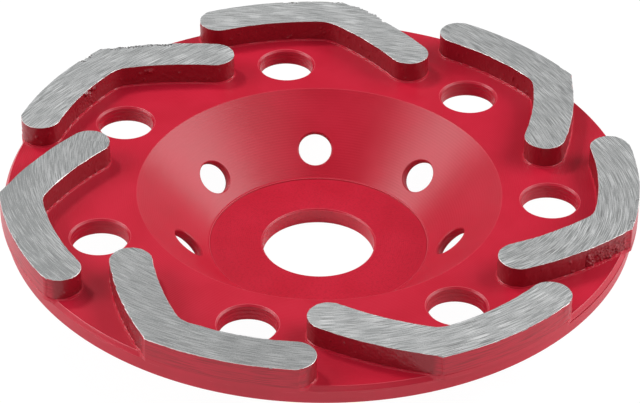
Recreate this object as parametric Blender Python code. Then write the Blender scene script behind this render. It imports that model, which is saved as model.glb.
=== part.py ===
"""A diamond cup wheel: a turned steel cup with seven bent diamond segments brazed on its flange.

The bore's axis is Z and the hub's back face lies on the plane z = 0, with the bore's centre at the
origin. The cup opens upwards, so the segments are on top. The first flange hole lies on +X.
"""

import math

import bmesh
import bpy
from mathutils import Matrix, Vector

MM = 0.001
DEGREE = math.pi / 180
FULL_TURN = 2 * math.pi
QUARTER_TURN = math.pi / 2

# The wheel: the segments' outer sides lie on its circle and stand out over the cup's rim
SEGMENT_COUNT = 7
WHEEL_DIAMETER = 125.0 * MM
SEGMENT_OVERHANG = 0.75 * MM

# Cup body
BORE_DIAMETER = 22.23 * MM
BORE_CHAMFER = 0.3 * MM
HUB_FACE_DIAMETER = 43.3 * MM
HUB_THICKNESS = 3.5 * MM
HUB_ROOT_RADIUS = 0.6 * MM
DISH_DEPTH = 13.0 * MM
MOUTH_DIAMETER = 71.7 * MM
CONE_WALL = 1.8 * MM
FLANGE_THICKNESS = 3.6 * MM
BACK_FILLET = 1.2 * MM
RIM_DIAMETER = WHEEL_DIAMETER - 2 * SEGMENT_OVERHANG
RIM_CHAMFER_WIDTH = 0.6 * MM
RIM_CHAMFER_HEIGHT = 0.9 * MM
RIM_BACK_BREAK = 0.15 * MM

# Holes in the flange and vents in the cone, one of each for each segment
FLANGE_HOLE_DIAMETER = 11.1 * MM
FLANGE_HOLE_CIRCLE = 90.5 * MM
FLANGE_HOLE_CHAMFER = 0.4 * MM
VENT_DIAMETER = 6.85 * MM
VENT_CIRCLE = 52.75 * MM
VENT_PHASE = -7.0 * DEGREE
VENT_BACK_CHAMFER = 0.3 * MM

# Segments, each a bent bar: the rim leg follows the rim, and the hub leg turns in from its knee
SEGMENT_HEIGHT = 4.65 * MM
BRAZE_GAP = 0.3 * MM
GROUND_EDGE_BREAK = 0.12 * MM
RIM_LEG_WIDTH = 8.2 * MM
RIM_LEG_END = 12.6 * DEGREE
KNEE_BEARING = -13.4 * DEGREE
KNEE_RADIUS = 0.6 * MM
CROOK_RADIUS = 4.9 * MM
HUB_LEG_WIDTH = 8.4 * MM
HUB_LEG_LENGTH = 24.4 * MM
HUB_LEG_HEADING = -134.2 * DEGREE
HUB_LEG_BOW_RADIUS = 69.0 * MM

# Facets
TURN_STEPS = 126
FLANGE_HOLE_SIDES = 36
VENT_SIDES = 28
LEG_STEPS = 6
CORNER_STEP = 15 * DEGREE
SHARP_ANGLE = 30 * DEGREE

# Levels and the slope that follow from the sizes above
FLANGE_FACE = HUB_THICKNESS + DISH_DEPTH
FLANGE_BACK = FLANGE_FACE - FLANGE_THICKNESS
SEGMENT_SEAT = FLANGE_FACE + BRAZE_GAP
SEGMENT_FACE = FLANGE_FACE + SEGMENT_HEIGHT
CONE_SLOPE = math.atan2(DISH_DEPTH, (MOUTH_DIAMETER - HUB_FACE_DIAMETER) / 2)


def clear_scene():
    """Removes what the start-up scene holds."""
    for obj in list(bpy.data.objects):
        bpy.data.objects.remove(obj, do_unlink=True)


def plain_material(name, colour, roughness, metallic):
    """A Principled material with one colour."""
    material = bpy.data.materials.new(name)
    material.use_nodes = True
    shader = material.node_tree.nodes["Principled BSDF"]
    shader.inputs["Base Color"].default_value = (*colour, 1.0)
    shader.inputs["Roughness"].default_value = roughness
    shader.inputs["Metallic"].default_value = metallic
    material.diffuse_color = (*colour, 1.0)
    return material


def shade_round(mesh):
    """Shades a mesh smooth, with creases where its faces meet at more than the sharp angle."""
    mesh.shade_smooth()
    mesh.set_sharp_from_angle(angle=SHARP_ANGLE)


def polar(radius, angle, centre=(0.0, 0.0)):
    """The point at this radius and angle about a centre."""
    return (centre[0] + radius * math.cos(angle), centre[1] + radius * math.sin(angle))


def arc(radius, start, end, steps, centre=(0.0, 0.0)):
    """Points along an arc, with both of its ends."""
    return [polar(radius, start + (end - start) * step / steps, centre) for step in range(steps + 1)]


def half_circle(radius, start, centre):
    """Points along half a circle, anticlockwise from the start angle."""
    return arc(radius, start, start + math.pi, round(math.pi / CORNER_STEP), centre)


def rounded(before, corner, after, radius):
    """Points along the arc that rounds a corner, tangent to the straight lines on both sides.

    The arc touches the lines at radius / tan(half the angle between them) from the corner.
    """
    bearing_before = math.atan2(before[1] - corner[1], before[0] - corner[0])
    bearing_after = math.atan2(after[1] - corner[1], after[0] - corner[0])
    between = (bearing_after - bearing_before + math.pi) % FULL_TURN - math.pi
    reach = radius / math.tan(abs(between) / 2)
    side = math.copysign(QUARTER_TURN, between)
    centre = polar(radius, bearing_before + side, polar(reach, bearing_before, corner))
    start = bearing_before - side
    sweep = between - math.copysign(math.pi, between)
    steps = max(2, round(abs(sweep) / CORNER_STEP))
    return arc(radius, start, start + sweep, steps, centre)


def rounded_outline(corners):
    """A closed outline through corners (x, y, radius), where a radius of 0 leaves a corner sharp."""
    points = []
    for index, (x, y, radius) in enumerate(corners):
        if radius > 0:
            before = corners[index - 1][:2]
            after = corners[(index + 1) % len(corners)][:2]
            points += rounded(before, (x, y), after, radius)
        else:
            points.append((x, y))
    return points


def cone_back_radius(level):
    """The radius at which the line of the cone's back surface crosses this level."""
    upright_wall = CONE_WALL / math.cos(CONE_SLOPE)
    rise = level + upright_wall - HUB_THICKNESS
    return HUB_FACE_DIAMETER / 2 + rise / math.tan(CONE_SLOPE)


def cup_section():
    """The cup's turned section as (radius, height) points, once round the steel."""
    bore = BORE_DIAMETER / 2
    rim = RIM_DIAMETER / 2
    return rounded_outline([
        (bore + BORE_CHAMFER, 0.0, 0.0),
        (cone_back_radius(0.0), 0.0, BACK_FILLET),
        (cone_back_radius(FLANGE_BACK), FLANGE_BACK, BACK_FILLET),
        (rim - RIM_BACK_BREAK, FLANGE_BACK, 0.0),
        (rim, FLANGE_BACK + RIM_BACK_BREAK, 0.0),
        (rim, FLANGE_FACE - RIM_CHAMFER_HEIGHT, 0.0),
        (rim - RIM_CHAMFER_WIDTH, FLANGE_FACE, 0.0),
        (MOUTH_DIAMETER / 2, FLANGE_FACE, 0.0),
        (HUB_FACE_DIAMETER / 2, HUB_THICKNESS, HUB_ROOT_RADIUS),
        (bore + BORE_CHAMFER, HUB_THICKNESS, 0.0),
        (bore, HUB_THICKNESS - BORE_CHAMFER, 0.0),
        (bore, BORE_CHAMFER, 0.0),
    ])


def turned(section):
    """A bmesh of a closed (radius, height) section turned once round Z."""
    bm = bmesh.new()
    verts = [bm.verts.new((radius, 0.0, height)) for radius, height in section]
    edges = [bm.edges.new((verts[i - 1], verts[i])) for i in range(len(verts))]
    bmesh.ops.spin(
        bm,
        geom=verts + edges,
        cent=(0, 0, 0),
        axis=(0, 0, 1),
        angle=FULL_TURN,
        steps=TURN_STEPS,
        use_merge=True,
    )
    bmesh.ops.recalc_face_normals(bm, faces=bm.faces)
    return bm


def add_drill(bm, profile, sides, place):
    """Adds a closed round cutter, whose (radius, height) profile runs from its bottom to its top."""
    rings = []
    for radius, height in profile:
        corners = [polar(radius, FULL_TURN * side / sides) for side in range(sides)]
        rings.append([bm.verts.new(place @ Vector((x, y, height))) for x, y in corners])
    for low, high in zip(rings, rings[1:]):
        for side in range(sides):
            after = (side + 1) % sides
            bm.faces.new((low[side], low[after], high[after], high[side]))
    bm.faces.new(rings[0][::-1])
    bm.faces.new(rings[-1])


def round_the_wheel(index, phase=0.0):
    """The turn about Z that takes the first copy of a pattern to this one."""
    return Matrix.Rotation(phase + FULL_TURN * index / SEGMENT_COUNT, 4, "Z")


def flange_hole_drills():
    """Straight holes, chamfered on both faces of the flange."""
    radius = FLANGE_HOLE_DIAMETER / 2
    flare = radius + 2 * FLANGE_HOLE_CHAMFER
    half = FLANGE_THICKNESS / 2
    profile = [
        (flare, -half - FLANGE_HOLE_CHAMFER),
        (radius, -half + FLANGE_HOLE_CHAMFER),
        (radius, half - FLANGE_HOLE_CHAMFER),
        (flare, half + FLANGE_HOLE_CHAMFER),
    ]
    seat = Matrix.Translation((FLANGE_HOLE_CIRCLE / 2, 0, (FLANGE_FACE + FLANGE_BACK) / 2))
    bm = bmesh.new()
    for index in range(SEGMENT_COUNT):
        add_drill(bm, profile, FLANGE_HOLE_SIDES, round_the_wheel(index) @ seat)
    return bm


def vent_drills():
    """Holes drilled square to the cone's wall, chamfered on its back."""
    radius = VENT_DIAMETER / 2
    profile = [
        (radius + 2 * VENT_BACK_CHAMFER, -CONE_WALL - VENT_BACK_CHAMFER),
        (radius, -CONE_WALL + VENT_BACK_CHAMFER),
        (radius, radius),
    ]
    rise = (VENT_CIRCLE - HUB_FACE_DIAMETER) / 2 * math.tan(CONE_SLOPE)
    seat = Matrix.Translation((VENT_CIRCLE / 2, 0, HUB_THICKNESS + rise))
    lean = Matrix.Rotation(-CONE_SLOPE, 4, "Y")
    bm = bmesh.new()
    for index in range(SEGMENT_COUNT):
        add_drill(bm, profile, VENT_SIDES, round_the_wheel(index, VENT_PHASE) @ seat @ lean)
    return bm


def drill(target, name, bm):
    """Cuts a mesh of drills from the target with a Boolean, and keeps the drills out of the model."""
    mesh = bpy.data.meshes.new(name)
    bm.to_mesh(mesh)
    bm.free()
    drills = bpy.data.objects.new(name, mesh)
    bpy.context.collection.objects.link(drills)
    drills.hide_render = True
    drills.display_type = "WIRE"
    boolean = target.modifiers.new(name, "BOOLEAN")
    boolean.operation = "DIFFERENCE"
    boolean.solver = "EXACT"
    boolean.object = drills


def apply_modifiers(obj):
    """Replaces an object's mesh with the one that its modifiers make."""
    evaluated = obj.evaluated_get(bpy.context.evaluated_depsgraph_get())
    mesh = bpy.data.meshes.new_from_object(evaluated)
    obj.modifiers.clear()
    obj.data = mesh


def circle_crossing(radius, centre, other_radius):
    """The right-hand one of the points where a circle about the origin meets one about a centre.

    It lies (d² + r² - s²) / 2d along the line of centres, where d is the distance between them and
    r and s are the radii, so its bearing is that line's less the arc cosine of that length over r.
    """
    distance = math.hypot(*centre)
    along = (distance**2 + radius**2 - other_radius**2) / (2 * distance)
    return polar(radius, math.atan2(centre[1], centre[0]) - math.acos(along / radius))


def segment_plan():
    """A segment's outline, anticlockwise, in the place it has beside the flange hole on +X.

    Each leg is a band between two arcs with one centre, and ends in a half circle. The rim leg's
    centre is the wheel's axis. The hub leg's lies square to its heading at the knee. The outer arcs
    of the two bands meet in the knee, and their inner arcs in the crook.
    """
    outer = WHEEL_DIAMETER / 2
    inner = outer - RIM_LEG_WIDTH
    knee = polar(outer, KNEE_BEARING)
    rim_tip = polar((outer + inner) / 2, RIM_LEG_END)

    bow_outer = HUB_LEG_BOW_RADIUS
    bow_inner = bow_outer - HUB_LEG_WIDTH
    bow_start = HUB_LEG_HEADING + QUARTER_TURN
    bow_end = bow_start - HUB_LEG_LENGTH / bow_outer
    bow_centre = polar(-bow_outer, bow_start, knee)
    hub_tip = polar((bow_outer + bow_inner) / 2, bow_end, bow_centre)

    crook = circle_crossing(inner, bow_centre, bow_inner)
    crook_bearing = math.atan2(crook[1], crook[0])
    crook_on_bow = math.atan2(crook[1] - bow_centre[1], crook[0] - bow_centre[0])

    rim_inside = half_circle(RIM_LEG_WIDTH / 2, RIM_LEG_END, rim_tip)
    rim_inside += arc(inner, RIM_LEG_END, crook_bearing, LEG_STEPS)[1:-1]
    hub_leg = arc(bow_inner, crook_on_bow, bow_end, LEG_STEPS, bow_centre)[1:-1]
    hub_leg += half_circle(HUB_LEG_WIDTH / 2, bow_end + math.pi, hub_tip)
    hub_leg += arc(bow_outer, bow_end, bow_start, LEG_STEPS, bow_centre)[1:-1]
    rim_outside = arc(outer, KNEE_BEARING, RIM_LEG_END, LEG_STEPS)[1:-1]

    corners = [(x, y, 0.0) for x, y in rim_inside] + [(*crook, CROOK_RADIUS)]
    corners += [(x, y, 0.0) for x, y in hub_leg] + [(*knee, KNEE_RADIUS)]
    corners += [(x, y, 0.0) for x, y in rim_outside]
    return rounded_outline(corners)


def segment_mesh(bare, coated):
    """The bar from its seat up to its ground face, with that face's edge broken."""
    bm = bmesh.new()
    foot = bm.faces.new([bm.verts.new((x, y, SEGMENT_SEAT)) for x, y in segment_plan()])
    raised = bmesh.ops.extrude_face_region(bm, geom=[foot])["geom"]
    upper = [item for item in raised if isinstance(item, bmesh.types.BMVert)]
    bmesh.ops.translate(bm, verts=upper, vec=(0, 0, SEGMENT_FACE - SEGMENT_SEAT))
    bmesh.ops.recalc_face_normals(bm, faces=bm.faces)
    ground_face = max(bm.faces, key=lambda face: face.calc_center_median().z)
    bmesh.ops.bevel(
        bm,
        geom=list(ground_face.edges),
        offset=GROUND_EDGE_BREAK,
        segments=1,
        profile=0.5,
        affect="EDGES",
    )
    for face in bm.faces:
        face.material_index = 0 if face.normal.z > 0.5 else 1
    mesh = bpy.data.meshes.new("diamond_segment")
    bm.to_mesh(mesh)
    bm.free()
    mesh.materials.append(bare)
    mesh.materials.append(coated)
    shade_round(mesh)
    return mesh


def build_cup_body(coated):
    """The steel cup, turned in one piece and then drilled."""
    mesh = bpy.data.meshes.new("cup_body")
    bm = turned(cup_section())
    bm.to_mesh(mesh)
    bm.free()
    mesh.materials.append(coated)
    body = bpy.data.objects.new("cup_body", mesh)
    bpy.context.collection.objects.link(body)
    drill(body, "flange_hole_drills", flange_hole_drills())
    drill(body, "vent_drills", vent_drills())
    apply_modifiers(body)
    shade_round(body.data)
    return body


def build_segments(bare, coated, body):
    """One segment beside each flange hole, all sharing one mesh."""
    mesh = segment_mesh(bare, coated)
    for index in range(SEGMENT_COUNT):
        segment = bpy.data.objects.new(f"diamond_segment_{index + 1}", mesh)
        bpy.context.collection.objects.link(segment)
        segment.parent = body
        segment.rotation_euler.z = FULL_TURN * index / SEGMENT_COUNT


def main():
    clear_scene()
    coated = plain_material("red_powder_coat", (0.53, 0.018, 0.045), 0.35, 0.0)
    bare = plain_material("ground_segment_face", (0.42, 0.43, 0.43), 0.35, 0.8)
    body = build_cup_body(coated)
    build_segments(bare, coated, body)


main()
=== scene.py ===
"""The looks of a diamond cup wheel: a red powder-coated steel cup with bent diamond segments.

Everything is in metres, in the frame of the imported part: the bore's axis is Z, the hub's back face is
the plane z = 0, and the first flange hole lies on +X. Each piece is a fine mesh worked out on grids.
The cup and the bars stand for the plain solids, and the braze seams fill the joints between them.
"""

import logging
import math
from collections.abc import Mapping, Sequence
from dataclasses import dataclass, field
from enum import Enum
from typing import Any, Union

import bmesh
import bpy
import numpy as np
from mathutils import Matrix, Vector

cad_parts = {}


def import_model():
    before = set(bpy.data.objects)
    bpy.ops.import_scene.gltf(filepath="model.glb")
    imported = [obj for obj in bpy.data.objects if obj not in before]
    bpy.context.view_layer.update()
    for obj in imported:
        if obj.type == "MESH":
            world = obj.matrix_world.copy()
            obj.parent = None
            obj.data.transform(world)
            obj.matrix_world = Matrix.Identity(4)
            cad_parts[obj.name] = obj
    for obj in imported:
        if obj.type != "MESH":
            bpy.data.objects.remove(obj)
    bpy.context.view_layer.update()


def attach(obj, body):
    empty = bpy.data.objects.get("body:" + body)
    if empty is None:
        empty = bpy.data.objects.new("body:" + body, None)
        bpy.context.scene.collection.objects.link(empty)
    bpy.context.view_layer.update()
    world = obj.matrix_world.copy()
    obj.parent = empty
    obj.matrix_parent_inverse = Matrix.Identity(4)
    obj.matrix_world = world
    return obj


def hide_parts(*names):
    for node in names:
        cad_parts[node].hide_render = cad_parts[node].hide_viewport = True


MM = 0.001
FULL_TURN = 2 * math.pi
SEGMENT_COUNT = 7
WHITE = (1.0, 1.0, 1.0)
SAME_POINT = 1e-9
OWN_POINT_SHARE = 0.4
WELD = 0.0005 * MM

Array = np.ndarray
Colour = tuple[float, float, float]
Corner = tuple[float, float, float]  # x, y and the radius that rounds it
Span = tuple[float, float]
Stretch = tuple[float, float, float]  # where it starts, where it ends, and its strength
Value = Union["Signal", bpy.types.NodeSocket, float, Sequence[float]]

log = logging.getLogger("cup_wheel")


class Coat(Enum):
    """Where a red coat lies, which sets how the steel or the sinter shows through it."""

    TURNED_BODY = "turned_body"
    DRILLED_WALL = "drilled_wall"
    SEGMENT_WALL = "segment_wall"
    BRAZE = "braze"


class Signal:
    """A number that varies over a surface. Its operators add Math nodes to the sheet it belongs to."""

    def __init__(self, sheet: "Sheet", socket: bpy.types.NodeSocket) -> None:
        """Wraps the socket that carries the number."""
        self.sheet = sheet
        self.socket = socket

    def math(self, operation: str, *values: Value) -> "Signal":
        """Adds a Math node with this operation and these inputs, and gives its result."""
        node = self.sheet.node("ShaderNodeMath", {"operation": operation}, dict(enumerate(values)))
        return Signal(self.sheet, node.outputs[0])

    def __add__(self, other: Value) -> "Signal":
        """The sum."""
        return self.math("ADD", self, other)

    __radd__ = __add__

    def __sub__(self, other: Value) -> "Signal":
        """The difference."""
        return self.math("SUBTRACT", self, other)

    def __rsub__(self, other: Value) -> "Signal":
        """The difference, with this signal taken away."""
        return self.math("SUBTRACT", other, self)

    def __mul__(self, other: Value) -> "Signal":
        """The product."""
        return self.math("MULTIPLY", self, other)

    __rmul__ = __mul__

    def __truediv__(self, other: Value) -> "Signal":
        """The quotient."""
        return self.math("DIVIDE", self, other)

    def __rtruediv__(self, other: Value) -> "Signal":
        """The quotient, with this signal as the divisor."""
        return self.math("DIVIDE", other, self)

    def sine(self) -> "Signal":
        """The sine, in radians."""
        return self.math("SINE", self)

    def most(self, other: Value) -> "Signal":
        """The larger of the two."""
        return self.math("MAXIMUM", self, other)

    def between(self, low: float, high: float, start: float = 0.0, end: float = 1.0) -> "Signal":
        """A smooth step.

        Args:
            low: The value at which the step starts.
            high: The value at which it ends.
            start: The result up to low.
            end: The result from high on.

        Returns:
            The stepped signal.
        """
        values = {"Value": self, 1: low, 2: high, 3: start, 4: end}
        node = self.sheet.node("ShaderNodeMapRange", {"interpolation_type": "SMOOTHSTEP"}, values)
        return Signal(self.sheet, node.outputs["Result"])


class Sheet:
    """The node tree of one material or world, with short ways to add nodes to it."""

    def __init__(self, tree: bpy.types.NodeTree) -> None:
        """Starts from an empty tree."""
        self.tree = tree
        tree.nodes.clear()

    def node(
        self,
        kind: str,
        settings: Mapping[str, Any] | None = None,
        values: Mapping[Union[int, str], Value] | None = None,
    ) -> bpy.types.Node:
        """Adds a node.

        Args:
            kind: The node's type.
            settings: What to set on the node itself.
            values: What its sockets take, by name or number: a number, a colour, a socket or a signal.

        Returns:
            The new node.
        """
        made = self.tree.nodes.new(kind)
        for name, setting in (settings or {}).items():
            setattr(made, name, setting)
        for name, value in (values or {}).items():
            socket = made.inputs[name]
            if isinstance(value, Signal):
                self.tree.links.new(value.socket, socket)
            elif isinstance(value, bpy.types.NodeSocket):
                self.tree.links.new(value, socket)
            elif isinstance(value, Sequence) and socket.type == "RGBA":
                socket.default_value = (*value, 1.0)
            else:
                socket.default_value = value
        return made

    def place(self) -> bpy.types.NodeSocket:
        """The point in the part's own frame."""
        return self.node("ShaderNodeTexCoord").outputs["Object"]

    def part(self, axis: str) -> Signal:
        """One coordinate of the point: X, Y or Z."""
        return Signal(self, self.node("ShaderNodeSeparateXYZ", {}, {0: self.place()}).outputs[axis])

    def bore_distance(self) -> Signal:
        """The distance from the bore's axis."""
        return self.level_length(self.place())

    def level_length(self, vector: Value) -> Signal:
        """The length of a vector with its Z left out.

        Args:
            vector: The vector.

        Returns:
            The length.
        """
        flat = self.vector("MULTIPLY", vector, (1.0, 1.0, 0.0))
        node = self.node("ShaderNodeVectorMath", {"operation": "LENGTH"}, {0: flat})
        return Signal(self, node.outputs["Value"])

    def vector(self, operation: str, *values: Value) -> bpy.types.NodeSocket:
        """Adds a Vector Math node with this operation and these inputs, and gives the vector's socket."""
        node = self.node("ShaderNodeVectorMath", {"operation": operation}, dict(enumerate(values)))
        return node.outputs["Vector"]

    def mark(self) -> Signal:
        """The number that the mesh keeps for each of its points."""
        return Signal(self, self.node("ShaderNodeAttribute", {"attribute_name": "mark"}).outputs["Fac"])

    def strokes(
        self, centre: Sequence[float], bend: float, width: float, length: float
    ) -> bpy.types.NodeSocket:
        """Coordinates that run across and along arcs about one centre.

        Args:
            centre: The arcs' centre, in metres.
            bend: Their radius, which turns the angle about the centre into a length.
            width: The length that one unit across stands for.
            length: The length that one unit along stands for.

        Returns:
            The socket with the resulting vector.
        """
        spoke = self.vector("SUBTRACT", self.place(), centre)
        parts = self.node("ShaderNodeSeparateXYZ", {}, {0: spoke}).outputs
        angle = Signal(self, parts["Y"]).math("ARCTAN2", parts["Y"], parts["X"])
        across = self.level_length(spoke) / width
        return self.node("ShaderNodeCombineXYZ", {}, {0: across, 1: angle * (bend / length)}).outputs[0]

    def noise(self, vector: Value, scale: float, detail: float = 2.0, roughness: float = 0.5) -> Signal:
        """Noise between 0 and 1, with scale cells per unit of the vector and detail finer layers."""
        values = {"Vector": vector, "Scale": scale, "Detail": detail, "Roughness": roughness}
        return Signal(self, self.node("ShaderNodeTexNoise", {}, values).outputs["Fac"])

    def blend(self, share: Value, first: Value, second: Value) -> bpy.types.NodeSocket:
        """The socket with the first colour where the share is 0, and the second where it is 1."""
        node = self.node("ShaderNodeMix", {"data_type": "RGBA"}, {0: share, 6: first, 7: second})
        return node.outputs[2]

    def bump(self, height: Value, depth: float) -> bpy.types.NodeSocket:
        """The socket with the normal of a relief, in which a height of 1 stands for the depth."""
        return self.node("ShaderNodeBump", {}, {"Height": height, "Distance": depth}).outputs["Normal"]

    def finish(self, **values: Value) -> None:
        """Adds the Principled shader and the output.

        Args:
            values: The shader's sockets, by name with underscores for spaces.
        """
        named = {name.replace("_", " "): value for name, value in values.items()}
        shader = self.node("ShaderNodeBsdfPrincipled", {}, named)
        self.node("ShaderNodeOutputMaterial", {}, {"Surface": shader.outputs[0]})


def new_sheet(name: str) -> tuple[bpy.types.Material, Sheet]:
    """Makes a material.

    Args:
        name: The material's name.

    Returns:
        The material and its node sheet.
    """
    material = bpy.data.materials.new(name)
    material.use_nodes = True
    return material, Sheet(material.node_tree)


@dataclass(frozen=True)
class PowderCoat:
    """Red powder coat, satin to glossy, over turned steel, braze or sinter.

    A pair of levels is where an effect of a noise or of the mesh's mark starts, and where it is full.
    """

    coat: Coat
    red: Colour = (0.53, 0.010, 0.034)
    deep_red: Colour = (0.49, 0.008, 0.028)
    # dark red: the coat's grain and turning streaks, and painted shade in corners, the rim's groove and on
    # the segments' pressed sides
    grain_and_shade_red: Colour = (0.28, 0.005, 0.014)
    thin_coat_highlight_red: Colour = (0.80, 0.17, 0.21)
    bare_grey: Colour = (0.34, 0.30, 0.30)
    roughness: float = 0.37
    roughness_spread: float = 0.1
    shine: float = 0.45
    cloud_size: float = 9 * MM
    cloud_levels: Span = (0.3, 0.7)
    peel_size: float = 1.3 * MM
    peel_depth: float = 0.006 * MM
    groove_pitch: float = 0.42 * MM
    groove_depth: float = 0.006 * MM
    groove_wander: float = 2.0
    wander_size: float = 20 * MM
    hub_radius: float = 21.6 * MM
    sand_size: float = 0.45 * MM
    sand_depth: float = 0.03 * MM
    sand_levels: Span = (0.45, 0.7)
    sand_shade: float = 0.3
    edge_levels: Span = (0.2, 0.9)
    corner_levels: Span = (-0.2, -0.9)
    body_thinning: float = 0.45
    hole_thinning: float = 0.8
    corner_shade: float = 0.8
    flank_start: float = 61.2 * MM
    flank_end: float = 61.9 * MM
    streak_length: float = 7 * MM
    streak_width: float = 0.22 * MM
    streak_depth: float = 0.02 * MM
    streak_levels: Span = (0.4, 0.7)
    chip_levels: Span = (0.3, 0.7)
    pressed_size: float = 0.6 * MM
    pressed_depth: float = 0.04 * MM

    def material(self) -> bpy.types.Material:
        """Builds the coat's material.

        Returns:
            The material.
        """
        material, sheet = new_sheet(f"red_coat_{self.coat.value}")
        cloud = sheet.noise(sheet.place(), 1 / self.cloud_size, 3.0)
        relief = sheet.noise(sheet.place(), 1 / self.peel_size, 2.0) * self.peel_depth
        colour = sheet.blend(cloud.between(*self.cloud_levels), self.deep_red, self.red)
        if self.coat is Coat.TURNED_BODY:
            sand = self._sand(sheet)
            relief = relief + self._turning(sheet) * self.groove_depth + sand * self.sand_depth
            shaded = sand.between(*self.sand_levels) * self.sand_shade
            colour = sheet.blend(shaded, colour, self.grain_and_shade_red)
            colour = self._lightened_edges_and_shaded_corners(sheet, colour, self.body_thinning)
        elif self.coat is Coat.DRILLED_WALL:
            colour = self._lightened_edges_and_shaded_corners(sheet, colour, self.hole_thinning)
        elif self.coat is Coat.SEGMENT_WALL:
            colour, rough = self._segment_side(sheet, colour)
            relief = relief + rough
        sheet.finish(
            Base_Color=colour,
            Roughness=(cloud - 0.5) * self.roughness_spread + self.roughness,
            Specular_IOR_Level=self.shine,
            Normal=sheet.bump(relief / MM, MM),
        )
        return material

    def _lightened_edges_and_shaded_corners(self, sheet: Sheet, colour: Value, thinning: float) -> bpy.types.NodeSocket:
        """Lightens edges, where the mesh's mark is 1, by a thinner coat and a painted highlight, and darkens
        corners, where it is -1, by painted shade.

        Args:
            sheet: The material's sheet.
            colour: The coat's colour.
            thinning: The lighter colour's share on an edge, for a thinner coat and a painted highlight.

        Returns:
            The socket with the colour, lightened on edges and shaded in corners.
        """
        mark = sheet.mark()
        # edges: a thinner coat and a painted highlight
        colour = sheet.blend(mark.between(*self.edge_levels) * thinning, colour, self.thin_coat_highlight_red)
        # corners, hole walls and the rim's groove: painted shade
        start, full = self.corner_levels
        painted_corner_shade = mark.between(full, start, 1.0, 0.0) * self.corner_shade
        return sheet.blend(painted_corner_shade, colour, self.grain_and_shade_red)

    def _turning(self, sheet: Sheet) -> Signal:
        """Grooves left by the turning tool: the sine of the distance from the bore, with some wander."""
        wander = sheet.noise(sheet.place(), 1 / self.wander_size, 1.0) * self.groove_wander
        return (sheet.bore_distance() * (FULL_TURN / self.groove_pitch) + wander).sine()

    def _sand(self, sheet: Sheet) -> Signal:
        """The fine grain of the coat on the hub's disc."""
        disc = sheet.bore_distance().between(self.hub_radius - MM, self.hub_radius, 1.0, 0.0)
        return sheet.noise(sheet.place(), 1 / self.sand_size, 2.0) * disc

    def _segment_side(self, sheet: Sheet, colour: Value) -> tuple[bpy.types.NodeSocket, Signal]:
        """Makes the sides of a segment: a streaked flank, rough pressed sinter darkened by painted shade,
        and bare chips.

        Args:
            sheet: The material's sheet.
            colour: The coat's colour.

        Returns:
            The socket with the side's colour, and the relief to add to the coat's.
        """
        flank = sheet.bore_distance().between(self.flank_start, self.flank_end)
        streaks = self._streaks(sheet)
        turned = sheet.blend(streaks.between(*self.streak_levels), colour, self.grain_and_shade_red)
        # the pressed sides, all but the flank, take the dark red as painted shade
        side = sheet.blend(flank, self.grain_and_shade_red, turned)
        side = sheet.blend(sheet.mark().between(*self.chip_levels), side, self.bare_grey)
        pressed = sheet.noise(sheet.place(), 1 / self.pressed_size, 2.0) * (1.0 - flank)
        return side, pressed * self.pressed_depth + streaks * flank * self.streak_depth

    def _streaks(self, sheet: Sheet) -> Signal:
        """Level streaks on the segments' flanks, which were turned to one circle with the rim."""
        flat, tall = 1 / self.streak_length, 1 / self.streak_width
        return sheet.noise(sheet.vector("MULTIPLY", sheet.place(), (flat, flat, tall)), 1.0, 3.0, 0.6)


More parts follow.
